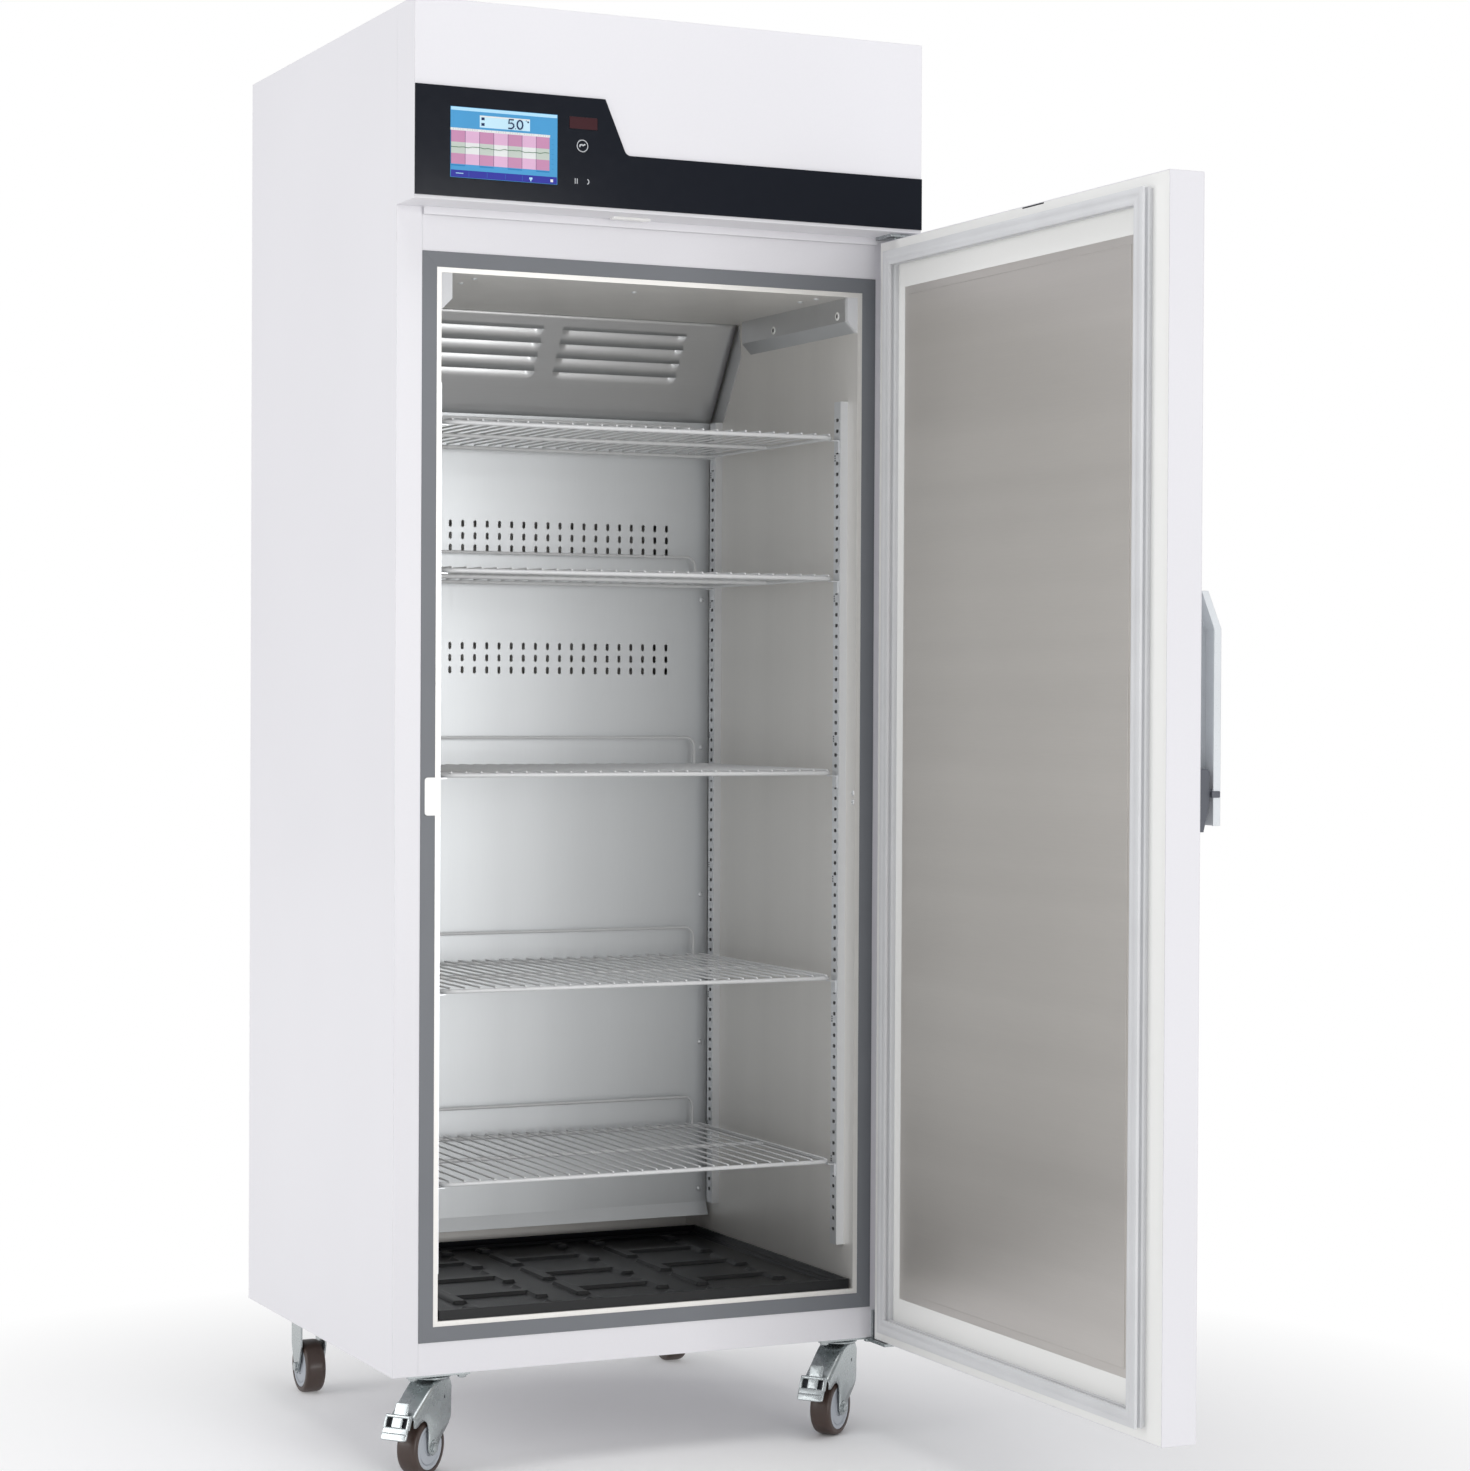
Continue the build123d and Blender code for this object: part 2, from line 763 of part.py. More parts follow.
def compressor():
    """Hermetic compressor: a drawn pot with a bevelled crown, on a plate over two rails."""
    foot = compressor_foot_height
    r, h = compressor_radius, compressor_height
    x, y = suction_pipe_x, coil_y()
    base = deck_top + foot + compressor_plate
    pot = Cylinder(r, h)
    pot = chamfer(pot.edges().sort_by(Axis.Z)[-1], compressor_crown)
    body = Pos(x, y, base + h / 2) * pot
    half = compressor_plate_size / 2
    body += block(x - half, x + half, y - half * 0.7, y + half * 0.7, base - compressor_plate, base)
    for side in (-1, 1):
        px = x + side * (half - foot)
        body += block(px - foot, px + foot, y - half * 0.7, y + half * 0.7,
                      deck_top, base - compressor_plate)
    return body


def pipe(*points):
    """A copper pipe along straight runs, joined by mitred elbows."""
    path = Polyline(*points)
    start = Vector(*points[0])
    along = Vector(*points[1]) - start
    return sweep(Plane(origin=start, z_dir=along) * Circle(pipe_radius), path,
                 transition=Transition.RIGHT)


def coil_y():
    """Depth at which the condenser's coil ends, and the compressor beside it, stand."""
    return condenser_y + condenser_depth / 2


def refrigerant_pipes():
    """Discharge, liquid and suction pipes with the filter drier in the liquid line."""
    y = evaporator_y + evaporator_depth / 2
    coil_x = condenser_x + condenser_width / 2 + coil_radius * 2
    low = deck_top + condenser_foot + condenser_height / 4
    high = low + condenser_height / 2
    cold_top = cavity_roof - evaporator_drop
    shell_x = suction_pipe_x - compressor_radius
    shell_y = coil_y() + compressor_radius
    discharge = rod_x(pipe_radius, coil_y(), low, coil_x, shell_x)
    liquid = pipe((coil_x, coil_y(), high), (liquid_pipe_x, coil_y(), high),
                  (liquid_pipe_x, y, high), (liquid_pipe_x, y, cold_top))
    liquid += rod_x(drier_radius, coil_y(), high, coil_x + drier_start,
                    liquid_pipe_x - drier_start)
    suction = pipe((suction_pipe_x, shell_y, low), (suction_pipe_x, y, low),
                   (suction_pipe_x, y, cold_top))
    return [discharge, liquid, suction]


# Interior fittings

def cover_slope():
    """Angle of the evaporator cover from the vertical, in degrees."""
    return math.degrees(math.atan2(duct_face_y - cover_top_y, cover_height))


def louvre_length():
    """Length of a louvre: what the margins and the middle gap leave, halved."""
    taken = louvre_left_margin + louvre_right_margin + louvre_middle_gap
    return (cavity_width - taken) / 2


def louvre_centres():
    half = louvre_length() / 2
    return (-half_cavity + louvre_left_margin + half, half_cavity - louvre_right_margin - half)


def evaporator_cover():
    """Sloped stainless cover with two groups of pressed louvres and a foot on the duct panel."""
    slope = cover_slope()
    length = math.hypot(duct_face_y - cover_top_y, cover_height)
    half = half_cavity - cover_side_gap
    plate = block(-half, half, 0, cover_sheet, -length, cover_sheet)
    for centre in louvre_centres():
        x0, x1 = centre - louvre_length() / 2, centre + louvre_length() / 2
        for row in range(louvre_rows):
            z = -louvre_first - row * louvre_pitch
            foot = z - louvre_opening
            plate -= block(x0, x1, 0, cover_sheet, foot, z)
            plate += side_profile([(0, foot), (louvre_rise, z), (louvre_rise + cover_sheet, z),
                                   (cover_sheet, foot)], x0, x1)
    placed = Pos(0, cover_top_y, cavity_roof) * Rot(slope, 0, 0) * plate
    return placed - block(-half_cavity, half_cavity, 0, cavity_depth, cavity_roof, casing_top)


def air_duct_panel():
    """Stainless panel in front of the rear air duct: two fields of slots and a lower lip.

    Every second column of slots is left uncut.
    """
    half = half_cavity - duct_side_gap
    low = duct_low
    high = cavity_roof - cover_height
    y0, y1 = duct_face_y, duct_face_y + duct_sheet
    panel = block(-half, half, y0, y1, low, high)
    lip = side_profile([(y0, low), (y0 - duct_lip_forward, low - duct_lip_drop),
                        (y1 - duct_lip_forward, low - duct_lip_drop), (y1, low)], -half, half)
    cuts = []
    vent_columns = int((cavity_width - vent_side_margin * 2) // vent_pitch)
    for drop in vent_drops:
        for row in range(vent_rows):
            z = cavity_roof - drop + (row - (vent_rows - 1) / 2) * vent_row_pitch
            for column in range(0, vent_columns, vent_stride):
                x = (column - (vent_columns - 1) / 2) * vent_pitch
                cuts.append(block(x - vent_slot_width / 2, x + vent_slot_width / 2, y0, y1,
                                  z - vent_slot_height / 2, z + vent_slot_height / 2))
    return (panel - cuts) + lip


def duct_spacers():
    """Folded side strips that hold the duct panel off the rear wall."""
    low = duct_low
    high = cavity_roof - cover_height
    strips = []
    for side in (-1, 1):
        x = side * (half_cavity - duct_side_gap)
        strips.append(block(x - side * duct_sheet * 2, x, duct_face_y + duct_sheet,
                            cavity_depth, low, high))
    return strips


def cheek_plates():
    """Strips on the side walls along the ends of the sloped cover."""
    plates = []
    for side in (-1, 1):
        wall = side * half_cavity
        run = duct_face_y - cover_top_y
        foot = cavity_roof - cover_height
        outline = [(cover_top_y - cheek_sheet, cavity_roof - cheek_sheet),
                   (duct_face_y - cheek_sheet, foot),
                   (duct_face_y - cheek_width, foot),
                   (cover_top_y - cheek_width + run * 0.34, cavity_roof - cove_height)]
        plates.append(side_profile(outline, wall - side * cheek_sheet, wall))
    return plates


def cove_outline(side, margin):
    """Upright face off the wall, sloping back to it below; grown by a margin."""
    wall = side * half_cavity
    face = wall - side * (cove_depth + margin)
    return [(wall, cavity_roof), (face, cavity_roof),
            (face, cavity_roof - cove_face - margin), (wall, cavity_roof - cove_height - margin)]


def side_coves():
    """Strips in the corners under the roof, with a cap at the front."""
    return [front_profile(cove_outline(side, 0), cove_cap, cover_top_y - cheek_width)
            for side in (-1, 1)]


def cove_caps():
    """White plastic end caps of the slanted strips."""
    return [front_profile(cove_outline(side, liner_sheet), liner_sheet, cove_cap)
            for side in (-1, 1)]


def shelf_rail(side, front):
    """One upright channel with slots for the shelf clips, cut at every fourth place."""
    y0 = front
    y1 = front + rail_width
    low, high = rail_low, rail_high
    face, wall = side * rail_face, side * half_cavity
    inside = side * (rail_face + rail_sheet)
    channel = block(face, wall, y0, y1, low, high)
    channel -= block(inside, wall, y0 + rail_sheet, y1 - rail_sheet, low, high)
    cuts = []
    for index in range(slot_count()):
        if index % slot_stride and index not in shelf_slots():
            continue
        z = slot_level(index)
        middle = (y0 + y1) / 2
        cuts.append(block(face, inside, middle - slot_width / 2, middle + slot_width / 2,
                          z - slot_height / 2, z + slot_height / 2))
    return channel - cuts


def slot_count():
    return int((rail_high - rail_low - slot_margin * 2) // slot_pitch) + 1


def shelf_slots():
    """The slots that carry the shelves, from their shares of the rail's height."""
    return [round(level * (slot_count() - 1)) for level in shelf_levels]


def slot_level(index):
    """Height of a slot's middle, counted from the lowest."""
    return rail_low + slot_margin + index * slot_pitch


def shelf_rails():
    return [shelf_rail(side, y) for side in (-1, 1) for y in (front_rail_y, rear_rail_y)]


def shelf_top(number):
    """Height of the wires' upper side: the clip tongue sits in its slot under the side bars."""
    seat = slot_level(shelf_slots()[number]) + slot_height / 2
    return seat + shelf_bar + shelf_wire


def wire_shelf(number):
    """Welded shelf: a frame of thick bars, thin wires front to back on it, and the rear wire."""
    top = shelf_top(number)
    under = top - shelf_wire
    low = under - shelf_bar
    y0, y1 = shelf_front, shelf_front + shelf_depth
    x, bar = shelf_half, shelf_bar
    middle = (y0 + y1) / 2
    bars = [block(-x, x, y0, y0 + bar, low, under), block(-x, x, y1 - bar, y1, low, under)]
    for side in (-1, 1):
        bars.append(block(side * x, side * (x - bar), y0 + bar, y1 - bar, low, under))
    bars.append(block(-x + bar, x - bar, middle - bar / 2, middle + bar / 2, low, under))
    count = int((x - bar) * 2 // shelf_wire_pitch) + 1
    for index in range(count):
        wx = (index - (count - 1) / 2) * shelf_wire_pitch
        bars.append(block(wx - shelf_wire / 2, wx + shelf_wire / 2, y0, y1 - shelf_wire,
                          under, top))
    return bars + backstop(under)


def backstop(low):
    """Raised wire at the rear edge of a shelf: two posts and the bar between their tops."""
    high = low + backstop_height
    y1 = shelf_front + shelf_depth
    y0 = y1 - shelf_wire
    x = shelf_half - backstop_inset
    top = high - shelf_bar
    posts = [block(side * x, side * (x - shelf_bar), y0, y1, low, top) for side in (-1, 1)]
    return posts + [block(-x, x, y0, y1, top, high)]


def shelf_clips():
    """Folded steel clips, four to a shelf: a tab on the rail and a tongue under the shelf."""
    clips = []
    for number in range(len(shelf_levels)):
        seat = shelf_top(number) - shelf_wire - shelf_bar - clip_clearance
        for side in (-1, 1):
            face = side * rail_face
            for rail_y in (front_rail_y, rear_rail_y):
                middle = rail_y + rail_width / 2
                y0, y1 = middle - clip_width / 2, middle + clip_width / 2
                tab = block(face, face - side * clip_sheet, y0, y1, seat - clip_tab, seat)
                tongue = block(face, face - side * clip_reach, y0, y1,
                               seat - clip_sheet, seat)
                clips.append(tab + tongue)
    return clips


def floor_tray():
    """Black moulded tray with a rim and raised ribs."""
    x = half_cavity - tray_gap
    y0, y1 = tray_gap, tray_gap + tray_depth
    low, high = cavity_floor, cavity_floor + tray_rim
    tray = block(-x, x, y0, y1, low, high)
    tray -= block(-x + tray_wall, x - tray_wall, y0 + tray_wall, y1 - tray_wall,
                  low + tray_wall, high)
    for index in range(tray_rib_count):
        y = y0 + (index + 0.5) * tray_depth / tray_rib_count
        tray += block(-x + tray_wall * 6, x - tray_wall * 6, y - tray_rib_width / 2,
                      y + tray_rib_width / 2, low + tray_wall,
                      low + tray_wall + tray_rib_height)
    return tray


# Door, built shut and then swung open about its hinge

def hang(shape):
    """Swing a piece of the closed door to the open position."""
    return shape.rotate(Axis((hinge_x, hinge_y, 0), (0, 0, 1)), door_rest_angle)


def door_low():
    return castor_height


def door_high():
    return castor_height + door_height


def ram_hole(y0, y1):
    """The way of the release ram through the door."""
    return rod_y(ram_radius + ram_clearance, ram_x, castor_height + ram_height, y0, y1)


def bush_holes():
    """Holes for the two hinge bushes."""
    low = rod_z(bush_radius, hinge_x, hinge_y, door_low(), door_low() + bush_length)
    high = rod_z(bush_radius, hinge_x, hinge_y, door_high() - bush_length, door_high())
    return low + high


def door_shell():
    """White folded pan of the door, open towards the cabinet."""
    t = door_sheet
    outer = block(-half_width, half_width, door_front, door_back, door_low(), door_high())
    outer = fillet(outer.edges().filter_by(Axis.Z).group_by(Axis.Y)[0], door_corner)
    hollow = block(-half_width + t, half_width - t, door_front + t, door_back,
                   door_low() + t, door_high() - t)
    return outer - hollow - bush_holes() - ram_hole(door_front, door_front + t)


def liner_window(y0, y1):
    """The opening in the liner frame that the stainless panel fills."""
    x = half_width - liner_frame_side
    return block(-x, x, y0, y1, door_low() + liner_frame_end, door_high() - liner_frame_end)


def door_insulation():
    """Foam core of the door."""
    t = door_sheet
    back = door_back - liner_frame_thickness
    core = block(-half_width + t, half_width - t, door_front + t, back,
                 door_low() + t, door_high() - t)
    core = chamfer(core.edges().filter_by(Axis.Z).group_by(Axis.Y)[0], door_corner)
    core += liner_window(back, door_back - inner_panel_sheet)
    return core - bush_holes() - ram_hole(door_front, door_back)


def door_liner():
    """White frame round the back of the door, which carries the gasket."""
    t = door_sheet
    back = door_back - liner_frame_thickness
    ring = block(-half_width + t, half_width - t, back, door_back, door_low() + t, door_high() - t)
    return ring - liner_window(back, door_back) - ram_hole(back, door_back) - magnet_slot(0)


def magnet_slot(margin):
    """Place of the switch magnet in the top edge of the liner frame."""
    high = door_high() - door_sheet
    return block(magnet_x - magnet_length / 2 - margin, magnet_x + magnet_length / 2 + margin,
                 door_back - magnet_width, door_back, high - magnet_height, high)


def door_inner_panel():
    """Stainless sheet of the door's back, pressed out in a shallow step."""
    panel = liner_window(door_back - inner_panel_sheet, door_back)
    inset = inner_panel_sheet * 12
    x = half_width - liner_frame_side - inset
    step = block(-x, x, door_back, door_back + inner_panel_step,
                 door_low() + liner_frame_end + inset, door_high() - liner_frame_end - inset)
    return panel + step


def door_gasket():
    """Soft magnetic gasket: a foot in the liner frame, a neck and a sealing lip."""
    half = half_width - gasket_side_inset
    low, high = door_low() + gasket_end_inset, door_high() - gasket_end_inset
    tip = -breaker_proud - gasket_clearance
    inset = (gasket_width - gasket_neck) / 2
    foot_end = door_back + gasket_foot
    lip_start = tip - gasket_foot
    foot = mitred_bars(half, low, high, gasket_width, door_back, foot_end)
    neck = mitred_bars(half - inset, low + inset, high - inset, gasket_neck,
                       foot_end, lip_start)
    lip = mitred_bars(half, low, high, gasket_width, lip_start, tip)
    return [a + b + c for a, b, c in zip(foot, neck, lip)]


def door_magnet():
    """Black switch magnet in the top of the door."""
    return magnet_slot(0)


def reed_switch():
    """Switch body under the fascia, over the magnet of the closed door."""
    return block(magnet_x - magnet_length / 2, magnet_x + magnet_length / 2,
                 door_back - magnet_width * 2, door_back,
                 fascia_bottom - magnet_width / 2, fascia_bottom)


def hinge_bush(z0, z1):
    bush = rod_z(bush_radius, hinge_x, hinge_y, z0, z1)
    return bush - rod_z(hinge_pin_radius + hinge_clearance, hinge_x, hinge_y, z0, z1)


def hinge_bushes():
    """Plastic bushes in the bottom and the top of the door."""
    return [hinge_bush(door_low(), door_low() + bush_length),
            hinge_bush(door_high() - bush_length, door_high())]


def hinge_brackets():
    """Steel brackets with their pins: an angle below the door and a plate under the fascia."""
    x0, x1 = half_width - bracket_width, half_width
    top = door_low() - bracket_gap
    front = hinge_y - bracket_width / 2
    seat = -bracket_plate
    lower = block(x0, x1, front, seat + bracket_plate, top - bracket_plate, top)
    lower += block(x0 + drip_reach, x1 - bracket_gap * 2, seat, 0, top - bracket_plate,
                   door_low() + bracket_width)
    lower += rod_z(hinge_pin_radius, hinge_x, hinge_y, top, door_low() + pin_engagement)
    under = fascia_bottom - bracket_plate
    upper = block(x0, x1, front, -drip_reach - bracket_gap, under, fascia_bottom)
    upper += rod_z(hinge_pin_radius, hinge_x, hinge_y, door_high() - pin_engagement, under)
    return [lower, upper]


# Handle

def handle_base():
    """Dark block on the door that carries the lever's pin."""
    low = castor_height + handle_bottom
    high = low + handle_base_height
    front = door_front - handle_base_depth
    half = handle_base_width / 2
    relief = lever_pivot_z - lever_relief_start
    depth = (relief - low) * math.tan(math.radians(lever_throw)) + lever_side_clearance
    body = side_profile([(door_front, low), (front + depth, low), (front, relief),
                         (front, high), (door_front, high)],
                        handle_x - half, handle_x + half)
    top_edge = body.edges().filter_by(Axis.X).sort_by_distance((handle_x, front, high))[0]
    body = fillet(top_edge, handle_corner)
    ear = block(handle_x - half, handle_x + half, lever_pivot_y - lever_side_clearance,
                front + handle_corner, lever_pivot_z - lever_pin_radius * 2,
                lever_pivot_z + lever_pin_radius * 2)
    reach = lever_width / 2 + lever_side_clearance
    body += ear + rod_x(lever_pin_radius, lever_pivot_y, lever_pivot_z,
                        handle_x - reach, handle_x + reach)
    return body - ram_hole(front + handle_corner * 2, door_front)


def handle_lever():
    """Long metal grip: a front wall with a shallow flange towards the free edge and a deep one."""
    low = castor_height + handle_bottom + lever_bottom_gap
    bend = low + lever_straight
    tip = bend + lever_slope
    out = door_front - lever_reach
    tip_out = door_front - lever_tip_reach - lever_tip_width
    tip_in = door_front - lever_tip_reach
    shallow = out + lever_flange
    deep = door_front - lever_deep_gap
    step = castor_height + handle_bottom + handle_base_height + lever_deep_gap
    left, right = handle_x - lever_width / 2, handle_x + lever_width / 2
    wall = side_profile([(out, low), (out, bend), (tip_out, tip), (tip_out + lever_wall, tip),
                         (out + lever_wall, bend), (out + lever_wall, low)], left, right)
    near = side_profile([(out, low), (out, bend), (tip_out, tip), (tip_in, tip),
                         (shallow, bend), (shallow, low)], left, left + lever_wall)
    far = side_profile([(out, low), (out, bend), (tip_out, tip), (tip_in, tip),
                        (deep, bend), (deep, step), (shallow, step), (shallow, low)],
                       right - lever_wall, right)
    lever = wall + near + far
    return lever - rod_x(lever_pin_radius + lever_pin_clearance, lever_pivot_y, lever_pivot_z,
                         left, right)


def release_ram():
    """Round ram through the door, which breaks the seal when the lever is pulled."""
    start = door_front - handle_base_depth / 2
    return rod_y(ram_radius, ram_x, castor_height + ram_height, start, door_back - ram_recess)


# Castors, built about their own swivel axis with the trail along +X

def axle_height():
    return wheel_radius


def fork_inner():
    return wheel_width / 2 + fork_gap


def fork_outer():
    return fork_inner() + fork_sheet


def wheel():
    """Wheel with its tread, turning about Y."""
    body = Cylinder(wheel_radius, wheel_width)
    return Rot(90, 0, 0) * (body - Cylinder(axle_radius + axle_clearance, wheel_width))


def axle():
    """Axle bolt with a round head and a nut outside the fork."""
    reach = fork_outer()
    bolt = Rot(90, 0, 0) * Cylinder(axle_radius, reach * 2)
    for side in (-1, 1):
        head = Rot(90, 0, 0) * extrude(RegularPolygon(axle_head_radius, 6), axle_head / 2,
                                       both=True)
        bolt += Pos(0, side * (reach + axle_head / 2), 0) * head
    return bolt


def crown_height():
    return castor_height - castor_plate_sheet - race_height - race_gap


def leg_outline(along, low):
    """Side outline of the front fork's legs, in trail and height."""
    top = crown_height()
    return [(-crown_front, top), (along * 0.85, top), (along * 2.6, top - fork_shoulder),
            (along * 2.9, top - fork_brow), (along * 2.1, top - fork_tuck),
            (along * 1.55, low + fork_heel),
            (along + fork_boss_radius, low), (along, low - fork_boss_radius),
            (along - fork_boss_radius, low), (-crown_front, low + 30)]


def extruded_leg(points, half_y):
    """An outline in X and Z, given thickness both ways along Y."""
    face = Plane.XZ * Polygon(*points, align=None)
    return extrude(face, half_y, both=True)


def front_fork():
    """Hooded swivel fork with the axle bolt, on the trail side of the swivel axis."""
    low = axle_height()
    points = leg_outline(castor_trail, low)
    fork = extruded_leg(points, fork_outer())
    under = [(x, z - fork_sheet) for x, z in points]
    gap = extruded_leg(under, fork_inner())
    lower = block(-crown_front * 2, castor_trail * 4, -fork_inner(), fork_inner(),
                  -1, crown_height() - fork_sheet - fork_shoulder)
    front = block(-crown_front * 2, -crown_front + fork_sheet * 2, -fork_inner(), fork_inner(),
                  -1, crown_height() - fork_sheet)
    fork = fork - gap - lower - front
    fork += Pos(castor_trail, 0, low) * axle()
    race = rod_z(race_radius, 0, 0, crown_height(), crown_height() + race_height / 2)
    fork += race
    fork -= rod_z(kingpin_radius + kingpin_clearance, 0, 0, crown_height() - fork_sheet,
                  crown_height() + race_height)
    pin = Pos(pedal_pin_along, 0, pedal_pin_height) * Rot(90, 0, 0) * Cylinder(
        pedal_pin_radius + hinge_clearance, fork_outer() * 2)
    return fork - pin


def brake_pedal():
    """Foot pedal on its pin through the fork's legs, over the trailing side of the wheel."""
    x, z = pedal_pin_along, pedal_pin_height
    plate = [(x + 16, z + 8), (x + 24, z + 8), (x + 34, z - 10), (x + 40, z - 28),
             (x + 33, z - 30), (x + 27, z - 14), (x + 18, z)]
    foot = extruded_leg(plate, pedal_width / 2)
    arm = [(x - 5, z - 5), (x - 5, z + 5), (x + 19, z + 6), (x + 22, z - 3)]
    inner = fork_inner() - fork_gap
    arms = extruded_leg(arm, inner) - extruded_leg(
        [(x - 9, z - 9), (x - 9, z + 9), (x + 15, z + 9), (x + 15, z - 9)], inner - pedal_arm)
    pin = Pos(x, 0, z) * Rot(90, 0, 0) * Cylinder(pedal_pin_radius, fork_outer() * 2)
    return foot + arms + pin


def castor_plate(x, y, swivels):
    """Top plate, with the fixed race and the kingpin where the castor swivels."""
    high = castor_height
    low = high - castor_plate_sheet
    plate = block(x - castor_plate_length / 2, x + castor_plate_length / 2,
                  y - castor_plate_width / 2, y + castor_plate_width / 2, low, high)
    if swivels:
        plate += rod_z(race_radius - race_gap * 4, x, y,
                       low - race_height / 2 + race_gap, low)
        plate += rod_z(kingpin_radius, x, y, crown_height() - fork_sheet, low)
    return plate


def castor_plates():
    """The four top plates."""
    plates = []
    for side in (-1, 1):
        plates.append(castor_plate(side * front_castor_x, front_castor_y, True))
        plates.append(castor_plate(side * rear_castor_x, rear_castor_y, False))
    return plates


def rear_fork(side):
    """Fixed fork: two tapered legs under a crown, with the axle bolt."""
    top = castor_height - castor_plate_sheet
    low = axle_height()
    half = castor_plate_width * 0.32
    r = fork_boss_radius
    points = [(-half, top), (half, top), (half, low + 34), (r, low), (0, low - r),
              (-r, low), (-half, low + 34)]
    fork = extruded_leg(points, fork_outer())
    fork -= block(-half * 2, half * 2, -fork_inner(), fork_inner(), -1, top - fork_sheet)
    fork += Pos(0, 0, low) * axle()
    return Pos(side * rear_castor_x, rear_castor_y, 0) * Rot(0, 0, 90) * fork


def place_front(shape, side):
    """Turn a castor piece to its heading and put it under a front corner."""
    return Pos(side * front_castor_x, front_castor_y, 0) * Rot(0, 0, castor_heading) * shape


def main():
    save("left_side_panel", side_panel(-1))
    save("right_side_panel", side_panel(1))
    save("floor_panel", floor_panel())
    save("roof_deck", roof_deck())
    save("rear_panel", rear_panel())
    save("cabinet_insulation", insulation())
    save("inner_liner", inner_liner())
    save("breaker_frame", *breaker_frame())
    save("striker_plate", striker_plate())
    save("fascia_panel", fascia_panel())
    save("display_glass", display_glass())
    save("touch_display", touch_display())
    save("alarm_display", alarm_display())
    save("power_key", power_key())
    save("control_board", control_board())
    save("top_cover", top_cover())
    save("rear_guard", rear_guard())
    save("mains_inlet", mains_inlet())
    save("compressor", compressor())
    save("condenser", condenser())
    save("condenser_fan_shroud", *fan_shroud())
    save("condenser_fan", fan(condenser_x, condenser_y + condenser_depth + cold_plate_sheet,
                              warm_fan_z(), warm_fan_radius, warm_fan_depth))
    save("refrigerant_pipes", *refrigerant_pipes())
    save("evaporator", evaporator())
    save("evaporator_fan_plate", *fan_plate())
    save("evaporator_fan", fan(0, evaporator_y + evaporator_depth + cold_plate_sheet,
                               cold_fan_z(), cold_fan_radius, cold_fan_depth))
    save("evaporator_cover", evaporator_cover())
    save("air_duct_panel", air_duct_panel())
    save("duct_fittings", *duct_spacers(), *cheek_plates(), *side_coves())
    save("cove_caps", *cove_caps())
    save("shelf_rails", *shelf_rails())
    save("shelf_clips", *shelf_clips())
    for number in range(len(shelf_levels)):
        save(f"shelf_{number + 1}", *wire_shelf(number))
    save("floor_tray", floor_tray())
    save("reed_switch", reed_switch())
    save("hinge_brackets", *hinge_brackets())
    save("door_shell", hang(door_shell()))
    save("door_insulation", hang(door_insulation()))
    save("door_liner", hang(door_liner()))
    save("door_inner_panel", hang(door_inner_panel()))
    save("door_gasket", *[hang(bar) for bar in door_gasket()])
    save("door_magnet", hang(door_magnet()))
    save("hinge_bushes", *[hang(bush) for bush in hinge_bushes()])
    save("handle_base", hang(handle_base()))
    save("handle_lever", hang(handle_lever()))
    save("release_ram", hang(release_ram()))
    save("castor_plates", *castor_plates())
    for side, name in ((-1, "left"), (1, "right")):
        save(f"front_{name}_fork", place_front(front_fork(), side))
        save(f"front_{name}_pedal", place_front(brake_pedal(), side))
        at_axle = Pos(castor_trail, 0, axle_height())
        save(f"front_{name}_wheel", place_front(at_axle * wheel(), side))
        rear = Pos(side * rear_castor_x, rear_castor_y, axle_height()) * Rot(0, 0, 90)
        save(f"rear_{name}_wheel", rear * wheel())
    save("rear_forks", rear_fork(-1), rear_fork(1))


main()
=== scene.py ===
import math

import bmesh
import bpy
import numpy as np
from bpy.props import (FloatProperty, FloatVectorProperty, IntProperty, PointerProperty,
                       StringProperty)
from mathutils import Matrix, Vector


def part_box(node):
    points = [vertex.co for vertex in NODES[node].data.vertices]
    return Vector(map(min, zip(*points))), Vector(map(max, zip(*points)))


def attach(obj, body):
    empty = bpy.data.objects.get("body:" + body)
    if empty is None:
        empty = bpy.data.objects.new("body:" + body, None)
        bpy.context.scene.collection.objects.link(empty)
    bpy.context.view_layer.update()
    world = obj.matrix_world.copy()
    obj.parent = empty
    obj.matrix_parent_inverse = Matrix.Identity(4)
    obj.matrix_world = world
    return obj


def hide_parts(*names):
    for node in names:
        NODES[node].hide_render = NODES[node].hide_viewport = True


bl_info = {
    "name": "Laboratory refrigerator looks",
    "version": (1, 0, 0),
    "blender": (4, 5, 0),
    "location": "3D View > Sidebar > Refrigerator",
    "description": "Finishes and fine pieces for a laboratory refrigerator with its door open",
    "category": "Object",
}

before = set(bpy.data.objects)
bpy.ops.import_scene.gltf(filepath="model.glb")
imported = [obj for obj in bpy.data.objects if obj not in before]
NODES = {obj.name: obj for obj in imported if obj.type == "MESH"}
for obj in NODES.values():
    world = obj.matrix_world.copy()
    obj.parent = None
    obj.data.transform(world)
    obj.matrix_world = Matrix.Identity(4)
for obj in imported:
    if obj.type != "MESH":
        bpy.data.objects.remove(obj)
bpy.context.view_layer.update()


# Colours and shader nodes

def linear(colour):
    """An sRGB hex colour as linear red, green, blue and alpha."""
    parts = np.array([int(colour[i:i + 2], 16) for i in (1, 3, 5)]) / 255
    bright = ((parts + 0.055) / 1.055) ** 2.4
    return tuple(float(v) for v in np.where(parts <= 0.04045, parts / 12.92, bright)) + (1.0,)


